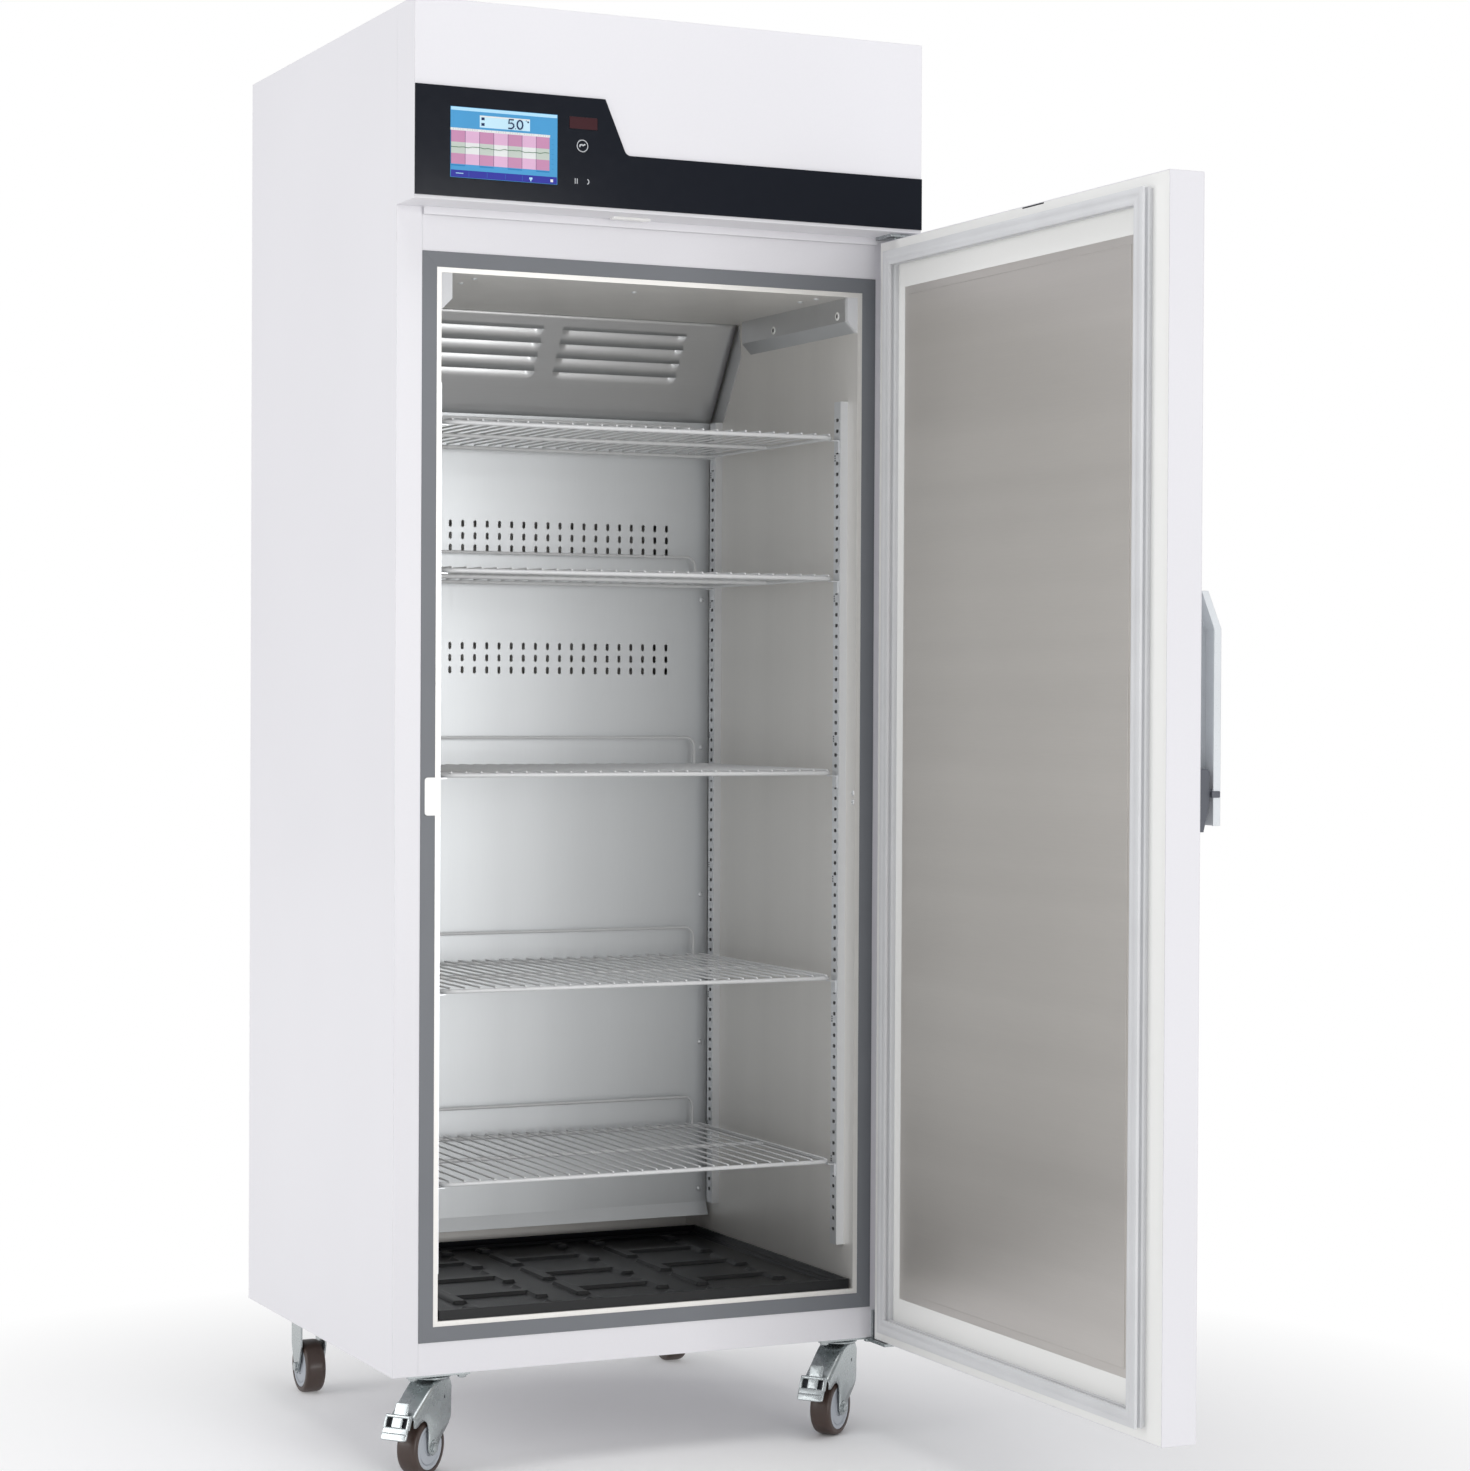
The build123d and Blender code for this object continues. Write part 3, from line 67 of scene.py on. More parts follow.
def add(tree, kind, inputs=None, **options):
    """Add one shader node: options are its own settings, inputs are values or the sockets that feed it."""
    made = tree.nodes.new(kind)
    for key, value in options.items():
        setattr(made, key, value)
    for key, value in (inputs or {}).items():
        if isinstance(value, bpy.types.NodeSocket):
            tree.links.new(value, made.inputs[key])
        else:
            made.inputs[key].default_value = value
    return made


def start(name):
    """A new material with only its output node, and that node."""
    material = bpy.data.materials.new(name)
    material.use_nodes = True
    material.node_tree.nodes.clear()
    return material, add(material.node_tree, "ShaderNodeOutputMaterial")


def finish(name, colour, rough, metal=0.0, grain=(1.0, 1.0, 1.0), scale=400.0, shade=0.03,
           spread=0.05, bump=0.08, depth=0.0002, clouds=0.03, coat=0.0, soft=0.0, edge_highlight=None,
           glow=0.0, level=0.5):
    """A surface whose colour, roughness and bump follow a fine noise stretched along its grain.

    A second, broad noise shades it slightly, as handling and uneven sheets do. With soft, the
    normals round the edges by that radius, and where they turn the finish takes a lighter
    edge colour, a painted highlight along the rounded edges.
    The level scales the sheen of surfaces that aren't metal.
    """
    material, output = start(name)
    tree = material.node_tree
    place = add(tree, "ShaderNodeTexCoord")
    along = add(tree, "ShaderNodeMapping", {"Vector": place.outputs["Object"], "Scale": grain})
    fine = add(tree, "ShaderNodeTexNoise", {"Vector": along.outputs["Vector"], "Scale": scale,
                                           "Detail": 5.0, "Roughness": 0.6})
    broad = add(tree, "ShaderNodeTexNoise", {"Vector": along.outputs["Vector"],
                                            "Scale": scale / 90, "Detail": 2.0})
    tone = add(tree, "ShaderNodeMapRange", {"Value": fine.outputs["Fac"], "From Min": 0.25,
                                           "From Max": 0.75, "To Min": 1 - shade,
                                           "To Max": 1 + shade})
    cloud = add(tree, "ShaderNodeMapRange", {"Value": broad.outputs["Fac"], "From Min": 0.3,
                                            "From Max": 0.7, "To Min": 1 - clouds,
                                            "To Max": 1 + clouds})
    value = add(tree, "ShaderNodeMath", {0: tone.outputs["Result"], 1: cloud.outputs["Result"]},
                operation="MULTIPLY")
    tinted = add(tree, "ShaderNodeHueSaturation", {"Color": linear(colour),
                                                  "Value": value.outputs["Value"]})
    base = tinted.outputs["Color"]
    roughness = add(tree, "ShaderNodeMapRange", {"Value": fine.outputs["Fac"],
                                                "From Min": 0.2, "From Max": 0.8,
                                                "To Min": max(rough - spread, 0.02),
                                                "To Max": rough + spread})
    relief = add(tree, "ShaderNodeBump", {"Height": fine.outputs["Fac"], "Strength": bump,
                                         "Distance": depth})
    if soft:
        rounded = add(tree, "ShaderNodeBevel", {"Radius": soft}, samples=4)
        tree.links.new(rounded.outputs["Normal"], relief.inputs["Normal"])
        # Where the rounded normal turns from the flat one, the colour goes up to halfway to the lighter
        # edge colour: a painted highlight
        if edge_highlight:
            flat = add(tree, "ShaderNodeNewGeometry")
            turn = add(tree, "ShaderNodeVectorMath", {0: rounded.outputs["Normal"],
                                                     1: flat.outputs["Normal"]},
                       operation="DOT_PRODUCT")
            edge = add(tree, "ShaderNodeMapRange", {"Value": turn.outputs["Value"],
                                                   "From Min": 0.98, "From Max": 0.8,
                                                   "To Min": 0.0, "To Max": 0.5})
            mixed = add(tree, "ShaderNodeMix", {"Factor": edge.outputs["Result"], "A": base,
                                               "B": linear(edge_highlight)}, data_type="RGBA")
            base = mixed.outputs["Result"]
    shader = add(tree, "ShaderNodeBsdfPrincipled", {
        "Base Color": base, "Metallic": metal, "Roughness": roughness.outputs["Result"],
        "Normal": relief.outputs["Normal"], "Coat Weight": coat, "Coat Roughness": 0.12,
        "Specular IOR Level": level})
    if glow:
        tree.links.new(base, shader.inputs["Emission Color"])
        shader.inputs["Emission Strength"].default_value = glow
    tree.links.new(shader.outputs["BSDF"], output.inputs["Surface"])
    return material


def finishes():
    """Every finish of the object by name, made once."""
    if "powder_coat" in bpy.data.materials:
        return {m.name: m for m in bpy.data.materials}
    tones = bpy.context.scene.fridge_finishes
    # Each lighter edge colour given below is a painted highlight along the rounded edges
    # Semi-gloss white powder coat on folded steel: faint orange peel
    finish("powder_coat", "#E3E2E6", 0.42, scale=260, shade=0.008, spread=0.04, bump=0.08,
           clouds=0.01, coat=0.08, soft=0.0011, edge_highlight="#F0F0F4")
    # Brushed stainless sheet with an upright grain, for the liner
    finish("stainless_upright", "#E2E0DC", 0.4, metal=0.45, grain=(1, 1, 0.012), scale=1400,
           shade=0.025, spread=0.06, bump=0.05, clouds=0.02)
    # Pale brushed stainless sheet of the duct panel
    finish("stainless_pale", "#D6D9DB", 0.42, metal=0.5, grain=(1, 1, 0.012), scale=1400,
           shade=0.02, spread=0.05, bump=0.05, clouds=0.015)
    # Brushed stainless sheet with a level grain, for the cover and strips
    finish("stainless_level", "#C9CACB", 0.34, metal=0.8, grain=(0.012, 1, 1), scale=1400,
           shade=0.03, spread=0.06, bump=0.06, clouds=0.02, soft=0.0006)
    # Brighter folded stainless of rails and edges
    finish("stainless_bright", "#E0E2E4", 0.3, metal=0.6, grain=(1, 1, 0.03), scale=900,
           shade=0.01, spread=0.03, bump=0.0, clouds=0.02)
    # Warm grey brushed sheet of the door's inner side
    finish("door_sheet", "#D3CFCA", 0.38, metal=0.7, grain=(1, 0.012, 1), scale=1400,
           shade=0.025, spread=0.05, bump=0.06, clouds=0.03, soft=0.0015)
    # Bright zinc plating, smooth
    finish("zinc_plate", "#B4BABB", 0.27, metal=0.92, scale=60, shade=0.02, spread=0.04,
           bump=0.01, clouds=0.03, soft=0.0008, edge_highlight="#E2E8EA")
    # Pale plastic coat on round steel wire
    finish("wire_coat", "#D6D7D8", 0.3, scale=700, shade=0.02, spread=0.05, bump=0.03, coat=0.2)
    # Mid-grey moulded frame between casing and liner
    finish("frame_plastic", "#6F7277", 0.46, scale=900, shade=0.02, spread=0.05, bump=0.12,
           soft=0.0008, edge_highlight="#8D9096")
    # White moulded plastic of the door's liner and small parts
    finish("white_plastic", "#EAEAEC", 0.38, scale=800, shade=0.01, spread=0.04, bump=0.06,
           clouds=0.012, soft=0.0015, edge_highlight="#F2F2F4")
    # Soft pale gasket with a dry sheen
    finish("gasket_vinyl", "#D3D4D6", 0.58, scale=1100, shade=0.03, spread=0.05, bump=0.1)
    # Dark grey moulding of the handle's base
    finish("dark_moulding", "#575A62", 0.45, scale=1000, shade=0.03, spread=0.06, bump=0.15,
           soft=0.001, edge_highlight="#6B6E77")
    # Satin silver coat on the lever
    finish("silver_coat", "#DDE1E4", 0.3, metal=0.2, scale=900, shade=0.015, spread=0.05,
           bump=0.02, coat=0.25, soft=0.0011, edge_highlight="#E8ECEE")
    # Black moulded tray with a fine grain
    finish("tray_moulding", "#131416", 0.4, scale=1300, shade=0.1, spread=0.1, bump=0.25,
           clouds=0.1, level=0.35)
    # Black moulding of the switch magnet and the switch
    finish("black_moulding", "#17181B", 0.5, scale=1200, shade=0.08, spread=0.08, bump=0.2,
           soft=0.0005)
    # Near-black printed glass with a hard gloss
    finish("printed_glass", "#11151E", 0.12, scale=90, shade=0.03, spread=0.02, bump=0.0,
           clouds=0.06, soft=0.0006, level=0.2)
    # Dark red filter over the second readout
    finish("red_filter", "#3A171D", 0.3, scale=2500, shade=0.12, spread=0.05, bump=0.0,
           glow=0.03, level=0.15)
    # Ground of the lit screen
    finish("screen_blue", "#4794C6", 0.3, scale=1500, shade=0.02, spread=0.03, bump=0.0,
           glow=0.08, level=0.15)
    # Brown polyurethane tread, lightly scuffed
    finish("brown_tread", tones.tread, 0.4, scale=500, shade=0.08, spread=0.08, bump=0.12,
           clouds=0.12, coat=0.1)
    # Grey moulded wheel centre
    finish("wheel_centre", "#AEB3BA", 0.42, scale=700, shade=0.02, spread=0.06, bump=0.08,
           clouds=0.02)
    # Grey enamel of the machinery
    finish("machine_grey", "#6E7074", 0.5, metal=0.3, scale=300, shade=0.04, spread=0.08,
           bump=0.08, soft=0.001)
    # Black paint of the compressor shell
    finish("compressor_black", "#141518", 0.38, scale=300, shade=0.1, spread=0.08, bump=0.2,
           clouds=0.1, coat=0.2)
    # Drawn copper, slightly oxidised
    finish("drawn_copper", "#B4714A", 0.32, metal=0.95, scale=200, shade=0.1, spread=0.1,
           bump=0.03, clouds=0.12)
    # Thin aluminium fins
    finish("fin_aluminium", "#B9BCBF", 0.42, metal=0.9, grain=(1, 1, 0.2), scale=900,
           shade=0.06, spread=0.08, bump=0.1)
    # Green circuit board
    finish("board_green", "#1F5A35", 0.4, scale=500, shade=0.15, spread=0.08, bump=0.2)
    # Pale rigid foam
    finish("rigid_foam", "#D9CDA6", 0.85, scale=350, shade=0.06, spread=0.05, bump=0.4,
           depth=0.0005)
    # White print on the glass
    finish("white_print", "#CDD0D4", 0.4, scale=900, shade=0.05, bump=0.0, level=0.2)
    # Grey print on the rails, and painted shade in dark gaps: behind the pedals' posts and in the plugs'
    # holes
    finish("dark_print", "#33353A", 0.6, scale=900, shade=0.08, bump=0.0)
    return {m.name: m for m in bpy.data.materials}


CAD_FINISHES = {
    "powder_coat": ("left_side_panel", "right_side_panel", "floor_panel", "roof_deck",
                    "rear_panel", "fascia_panel", "top_cover", "rear_guard", "door_shell"),
    "stainless_upright": ("inner_liner",),
    "stainless_pale": ("air_duct_panel",),
    "stainless_level": ("evaporator_cover", "duct_fittings"),
    "stainless_bright": ("shelf_rails", "shelf_clips"),
    "door_sheet": ("door_inner_panel",),
    "zinc_plate": ("hinge_brackets", "castor_plates", "front_left_fork", "front_right_fork",
                   "rear_forks", "front_left_pedal", "front_right_pedal"),
    "wire_coat": ("shelf_1", "shelf_2", "shelf_3", "shelf_4", "shelf_5"),
    "frame_plastic": ("breaker_frame",),
    "white_plastic": ("striker_plate", "door_liner", "hinge_bushes", "release_ram",
                      "reed_switch"),
    "gasket_vinyl": ("door_gasket", "cove_caps"),
    "dark_moulding": ("handle_base",),
    "silver_coat": ("handle_lever",),
    "tray_moulding": ("floor_tray",),
    "black_moulding": ("door_magnet", "mains_inlet", "condenser_fan",
                       "evaporator_fan"),
    "printed_glass": ("display_glass", "power_key"),
    "red_filter": ("alarm_display",),
    "screen_blue": ("touch_display",),
    "brown_tread": ("front_left_wheel", "front_right_wheel", "rear_left_wheel",
                    "rear_right_wheel"),
    "machine_grey": ("condenser_fan_shroud", "evaporator_fan_plate"),
    "compressor_black": ("compressor",),
    "drawn_copper": ("refrigerant_pipes",),
    "fin_aluminium": ("condenser", "evaporator"),
    "board_green": ("control_board",),
    "rigid_foam": ("cabinet_insulation", "door_insulation"),
}


# Surfaces

def grid_faces(rows, columns, wrap_rows=False, wrap_columns=False):
    """Quads between the points of a grid; a wrapped direction is joined across its seam."""
    r = np.arange(rows if wrap_rows else rows - 1)[:, None]
    c = np.arange(columns if wrap_columns else columns - 1)[None, :]
    below, beside = (r + 1) % rows, (c + 1) % columns
    corners = [r * columns + c, r * columns + beside, below * columns + beside,
               below * columns + c]
    return np.stack(corners, -1).reshape(-1, 4)


def ring(profile, count):
    """A closed outline of (radius, height) turned about Z: radius on the cosine and the sine."""
    turn = np.arange(count) / count * 2 * np.pi
    radius, height = profile[:, 0], profile[:, 1]
    points = np.stack([np.cos(turn)[:, None] * radius, np.sin(turn)[:, None] * radius,
                       np.broadcast_to(height, (count, len(height)))], -1)
    return points.reshape(-1, 3), [grid_faces(count, len(profile), True, True)]


def turned(profile, count):
    """An outline that starts and ends on the axis, turned about Z, with one point at each pole."""
    inner = profile[1:-1]
    turn = np.arange(count) / count * 2 * np.pi
    rings = np.stack([inner[:, 0][:, None] * np.cos(turn), inner[:, 0][:, None] * np.sin(turn),
                      np.broadcast_to(inner[:, 1][:, None], (len(inner), count))], -1)
    poles = np.array([[0, 0, profile[0, 1]], [0, 0, profile[-1, 1]]])
    points = np.concatenate([rings.reshape(-1, 3), poles])
    step = np.arange(count)
    beside = (step + 1) % count
    first = len(inner) * count
    base = first - count
    start_fan = np.stack([np.full(count, first), step, beside], -1)
    end_fan = np.stack([np.full(count, first + 1), base + beside, base + step], -1)
    return points, [grid_faces(len(inner), count, False, True), start_fan, end_fan]


def tube(path, radius, across, sides=8, closed=False):
    """A round bar along a flat path: a circle spanned by the path plane's normal and the bisector.

    The path's direction at a point is from the point before it to the point after it. Open ends
    are closed with a fan round one point on the path.
    """
    path = np.asarray(path, float)
    if closed:
        along = np.roll(path, -1, 0) - np.roll(path, 1, 0)
    else:
        along = np.gradient(path, axis=0)
    along /= np.linalg.norm(along, axis=1)[:, None]
    side = np.broadcast_to(np.asarray(across, float), path.shape)
    up = np.cross(along, side)
    turn = np.arange(sides) / sides * 2 * np.pi
    circle = (np.cos(turn)[None, :, None] * side[:, None, :]
              + np.sin(turn)[None, :, None] * up[:, None, :])
    points = (path[:, None, :] + radius * circle).reshape(-1, 3)
    faces = [grid_faces(len(path), sides, closed, True)]
    if not closed:
        tips = np.stack([path[0] - along[0] * radius * 0.5, path[-1] + along[-1] * radius * 0.5])
        points = np.concatenate([points, tips])
        step = np.arange(sides)
        beside = (step + 1) % sides
        first = len(path) * sides
        base = first - sides
        faces.append(np.stack([np.full(sides, first), beside, step], -1))
        faces.append(np.stack([np.full(sides, first + 1), base + step, base + beside], -1))
    return points, faces


def corner(middle, radius, start_angle, end_angle, count=6):
    """Points of an arc about a middle, as (first, second) coordinates."""
    angle = np.radians(np.linspace(start_angle, end_angle, count))
    return np.stack([middle[0] + radius * np.cos(angle), middle[1] + radius * np.sin(angle)], -1)


def lift(flat, axis, value):
    """Flat points with a third coordinate put in before the given place."""
    return np.insert(np.asarray(flat, float), axis, value, axis=1)


def slab(low, high):
    """The eight corners and six faces of a small plate from its low to its high corner."""
    x, y, z = [np.array([a, b]) for a, b in zip(low, high)]
    points = np.stack(np.meshgrid(x, y, z, indexing="ij"), -1).reshape(-1, 3)
    return points, [np.array([[0, 1, 3, 2], [4, 6, 7, 5], [0, 4, 5, 1], [2, 3, 7, 6],
                              [0, 2, 6, 4], [1, 5, 7, 3]])]


def quad(*corners):
    """One flat face through four corners."""
    return np.array(corners), [np.array([[0, 1, 2, 3]])]


def curve_through(rows, count):
    """A Catmull-Rom curve through rows of values: each span is the cubic of its four nearest rows."""
    rows = np.asarray(rows, float)
    ends = np.concatenate([rows[:1], rows, rows[-1:]])
    place = np.linspace(0, len(rows) - 1, count)
    first = np.minimum(place.astype(int), len(rows) - 2)
    t = (place - first)[:, None]
    a, b, c, d = (ends[first + step] for step in range(4))
    return 0.5 * (2 * b + (c - a) * t + (2 * a - 5 * b + 4 * c - d) * t ** 2
                  + (3 * b - a - 3 * c + d) * t ** 3)


def pad(wide, long, thick, edge, count=5, around=36):
    """A plate with rounded corners and edges, centred on zero.

    Its outline is a superellipse of power 0.25. Near each face the rows step in by the edge's
    radius times one less the sine, and up by the radius times one less the cosine.
    """
    turn = np.arange(around) / around * 2 * np.pi
    outline = np.stack([np.sign(np.cos(turn)) * np.abs(np.cos(turn)) ** 0.25,
                        np.sign(np.sin(turn)) * np.abs(np.sin(turn)) ** 0.25], -1)
    angle = np.linspace(0, np.pi / 2, count)
    inset = edge * (1 - np.sin(angle))
    height = edge * (1 - np.cos(angle)) - thick / 2
    inset = np.concatenate([inset, inset[::-1]])
    height = np.concatenate([height, -height[::-1]])
    half = np.array([wide, long]) / 2
    flat = outline[None] * (half - inset[:, None, None])
    rings = np.concatenate([flat, np.broadcast_to(height[:, None, None], flat.shape[:2] + (1,))], -1)
    poles = np.array([[0, 0, -thick / 2], [0, 0, thick / 2]])
    step = np.arange(around)
    beside = (step + 1) % around
    first = len(inset) * around
    base = first - around
    fans = [np.stack([np.full(around, first), beside, step], -1),
            np.stack([np.full(around, first + 1), base + step, base + beside], -1)]
    return (np.concatenate([rings.reshape(-1, 3), poles]),
            [grid_faces(len(inset), around, False, True)] + fans)


def repeat(part, places):
    """Copies of a part, each moved by one 4 by 4 matrix, as one part."""
    points, faces = part
    places = np.asarray(places, float)
    moved = np.einsum("kij,nj->kni", places[:, :3, :3], points) + places[:, None, :3, 3]
    shift = (np.arange(len(places)) * len(points))[:, None, None]
    return moved.reshape(-1, 3), [(f[None] + shift).reshape(-1, f.shape[1]) for f in faces]


def at(spots, toward=(0.0, 0.0, 1.0)):
    """Matrices that put a part at each spot with its Z axis turned toward a direction."""
    turn = Vector((0, 0, 1)).rotation_difference(Vector(toward)).to_matrix().to_4x4()
    return [np.array(Matrix.Translation(Vector(spot)) @ turn) for spot in spots]


class Form:
    """Parts of one piece, each with the number of its material."""

    def __init__(self):
        self.points = []
        self.faces = []
        self.numbers = []
        self.count = 0

    def put(self, part, number=0):
        """Add a part, with the number of its material."""
        points, faces = part
        for group in faces:
            self.faces += (group + self.count).tolist()
            self.numbers += [number] * len(group)
        self.points.append(points)
        self.count += len(points)

    def piece(self, name, body, materials, closed=True, smooth=True, weld=False,
              stands_for=()):
        """Make the object, turn its faces outwards, give it its finishes and fix it to its body."""
        mesh = bpy.data.meshes.new(name)
        mesh.from_pydata(np.concatenate(self.points).tolist(), [], self.faces)
        for material in materials:
            mesh.materials.append(finishes()[material])
        mesh.polygons.foreach_set("material_index", self.numbers)
        mesh.polygons.foreach_set("use_smooth", [smooth] * len(self.faces))
        work = bmesh.new()
        work.from_mesh(mesh)
        if weld:
            bmesh.ops.remove_doubles(work, verts=work.verts, dist=1e-6)
        if closed:
            bmesh.ops.recalc_face_normals(work, faces=work.faces)
        work.to_mesh(mesh)
        work.free()
        if smooth:
            mesh.set_sharp_from_angle(angle=math.radians(40))
        made = bpy.data.objects.new(name, mesh)
        bpy.context.scene.collection.objects.link(made)
        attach(made, body)
        if stands_for:
            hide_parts(*stands_for)
        return made


# Settings

class FridgeFinishes(bpy.types.PropertyGroup):
    """Colours that differ from one make of such a cabinet to the next."""
    tread: StringProperty(
        name="Tread colour", description="Colour of the wheels' treads as a hex value",
        default="#42342E")
    sky: FloatVectorProperty(
        name="Surroundings", description="Colour of the light from all sides",
        subtype="COLOR", size=3, default=(0.96, 0.965, 0.99))


class FridgeSizes(bpy.types.PropertyGroup):
    """Sizes of the fine pieces; the rest comes from the frame."""
    wire: FloatProperty(
        name="Shelf wire", description="Radius of the shelves' thin wires", default=0.0015,
        unit="LENGTH", precision=4)
    bar: FloatProperty(
        name="Shelf bar", description="Radius of the shelves' frame bars", default=0.003,
        unit="LENGTH", precision=4)
    wire_count: IntProperty(
        name="Wires", description="Thin wires in each shelf", default=27)
    wire_pitch: FloatProperty(
        name="Wire pitch", description="Distance between two thin wires", default=0.0224,
        unit="LENGTH", precision=4)
    slot_pitch: FloatProperty(
        name="Slot pitch", description="Distance between two slots of a rail", default=0.01575,
        unit="LENGTH", precision=5)
    vent_pitch: FloatProperty(
        name="Vent pitch", description="Distance between two columns of the duct panel's slots",
        default=0.0201, unit="LENGTH", precision=4)
    louvre_depth: FloatProperty(
        name="Louvre depth", description="How far a louvre is pressed in", default=0.006,
        unit="LENGTH", precision=4)
    tread_radius: FloatProperty(
        name="Wheel radius", description="Outer radius of a wheel", default=0.04,
        unit="LENGTH", precision=4)


class FridgeStage(bpy.types.PropertyGroup):
    """Strength of the studio's lights."""
    front_power: FloatProperty(
        name="Front light", description="Power of the large light in front of the door's plane",
        default=250.0, unit="POWER")
    side_power: FloatProperty(
        name="Side light", description="Power of the soft light from the left",
        default=64.0, unit="POWER")
    ambient: FloatProperty(
        name="Surroundings", description="Strength of the light from all sides", default=0.55)


# Operators

class FRIDGE_OT_finishes(bpy.types.Operator):
    """Give every carried-over part its finish."""
    bl_idname = "fridge.finishes"
    bl_label = "Finishes of the parts"

    def execute(self, context):
        made = finishes()
        for name, members in CAD_FINISHES.items():
            for member in members:
                mesh = NODES[member].data
                mesh.materials.clear()
                mesh.materials.append(made[name])
        return {"FINISHED"}


class FRIDGE_OT_wheels(bpy.types.Operator):
    """Treads and centres of the four wheels.

    The tread is a superellipse band: width times the cosine and depth times the sine of one
    angle, both to the power 0.45, closed by its seat. The centre is a stepped disc with a ring.
    """
    bl_idname = "fridge.wheels"
    bl_label = "Wheels"

    def execute(self, context):
        radius = context.scene.fridge_sizes.tread_radius
        half, seat = 0.0155, 0.0315
        angle = np.linspace(0, np.pi, 23)
        across = half * np.sign(np.cos(angle)) * np.abs(np.cos(angle)) ** 0.45
        out = seat + (radius - seat) * np.sin(angle).clip(0) ** 0.45
        tread = ring(np.stack([out, across], -1), 72)
        centre = ring(np.array([
            (4.3, -15.6), (10.5, -15.6), (11.5, -14.6), (12, -12.6), (22, -11.6), (24.5, -12.4),
            (26.3, -14.9), (28.6, -15.4), (31.2, -14.6), (32, -12), (32, 12), (31.2, 14.6),
            (28.6, 15.4), (26.3, 14.9), (24.5, 12.4), (22, 11.6), (12, 12.6), (11.5, 14.6),
            (10.5, 15.6), (4.3, 15.6)]) / 1000, 72)
        guard = ring(np.array([(12.2, 13.4), (23.6, 12.6), (24.2, 13.2), (23.6, 13.9),
                               (12.2, 14.8)]) / 1000, 48)
        turned_axle = (-math.sin(HEADING), math.cos(HEADING), 0)
        for side in ("left", "right"):
            for end, axle in (("front", turned_axle), ("rear", (1, 0, 0))):
                node = f"{end}_{side}_wheel"
                low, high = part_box(node)
                spot = [(low + high) / 2]
                band = Form()
                band.put(repeat(tread, at(spot, axle)))
                band.piece(f"{node}_tread", node, ["brown_tread"],
                           stands_for=[node])
                disc = Form()
                disc.put(repeat(centre, at(spot, axle)))
                for way in (1, -1):
                    disc.put(repeat(guard, at(spot, [way * v for v in axle])))
                disc.piece(f"{node}_centre", node, ["wheel_centre"],
                           stands_for=[node])
        return {"FINISHED"}


# Rows of a front fork in mm: hood line (trail, height), free edge (trail, height), edge radius
FORK_ROWS = (
    (-27, 84, -15, 67, 13), (-27, 94, -5, 58, 13), (-27, 105, 7, 48, 13),
    (-27, 117, 14, 38, 13), (-26, 125, 18, 31.5, 11), (-21, 130, 25, 29, 8),
    (-12, 131.6, 32, 31.5, 6), (6, 131.6, 36, 40, 5), (20, 128, 35.5, 53, 5),
    (34, 119, 36, 66, 5), (47, 109, 40, 76, 5), (58, 101, 48, 80.5, 5),
    (66, 95, 57, 79, 5), (72, 90, 66, 75, 5), (73.5, 86, 71.5, 74.5, 4))
FORK_SECTIONS = 71
FORK_HALF = 0.0205
FORK_SHEET = 0.0022
SWIVEL_SPOT = (0.316, 0.038)
REAR_SPOT = (0.305, 0.612)
HEADING = math.radians(218)
# Places in a castor's own axes: axle (trail, height), top of the pedal, mark on the cheek
AXLE = (0.025, 0.040)
PEDAL_TOP = (0.078, 0, 0.096)
FORK_MARK = (-0.004, 0.105)
# Radius and height of each kind of head
AXLE_BOLT = (0.0068, 0.0045)
PLATE_BOLT = (0.0062, 0.0052)
SHEET_SCREW = (0.0042, 0.002)
CASTOR_PLATE = 0.003
# Height of the liner's roof over the floor
ROOF = 1.652


def castor_place(side):
    """Matrix from a front castor's own axes (trail, across, up) to the object's."""
    spot = Matrix.Translation((side * SWIVEL_SPOT[0], SWIVEL_SPOT[1], 0))
    return np.array(spot @ Matrix.Rotation(HEADING, 4, "Z"))


def hood():
    """Pressed fork: at each row a section runs from the free edge up one cheek, round the edge
    radius, across the hood and down the other cheek."""
    rows = curve_through(np.array(FORK_ROWS) / 1000, FORK_SECTIONS)
    line, edge, radius = rows[:, 0:2], rows[:, 2:4], rows[:, 4:5]
    inward = edge - line
    reach = np.linalg.norm(inward, axis=1)[:, None]
    inward /= reach
    angle = np.linspace(0, np.pi / 2, 6)
    depth = np.concatenate([reach, (reach + radius) / 2, radius * (1 - np.sin(angle))], 1)
    across = FORK_HALF - np.concatenate([reach * 0, reach * 0, radius * (1 - np.cos(angle))], 1)
    depth = np.concatenate([depth, depth[:, ::-1]], 1)
    across = np.concatenate([across, -across[:, ::-1]], 1)
    points = np.stack([line[:, :1] + inward[:, :1] * depth, across,
                       line[:, 1:] + inward[:, 1:] * depth], -1)
    return points.reshape(-1, 3), [grid_faces(FORK_SECTIONS, depth.shape[1])]


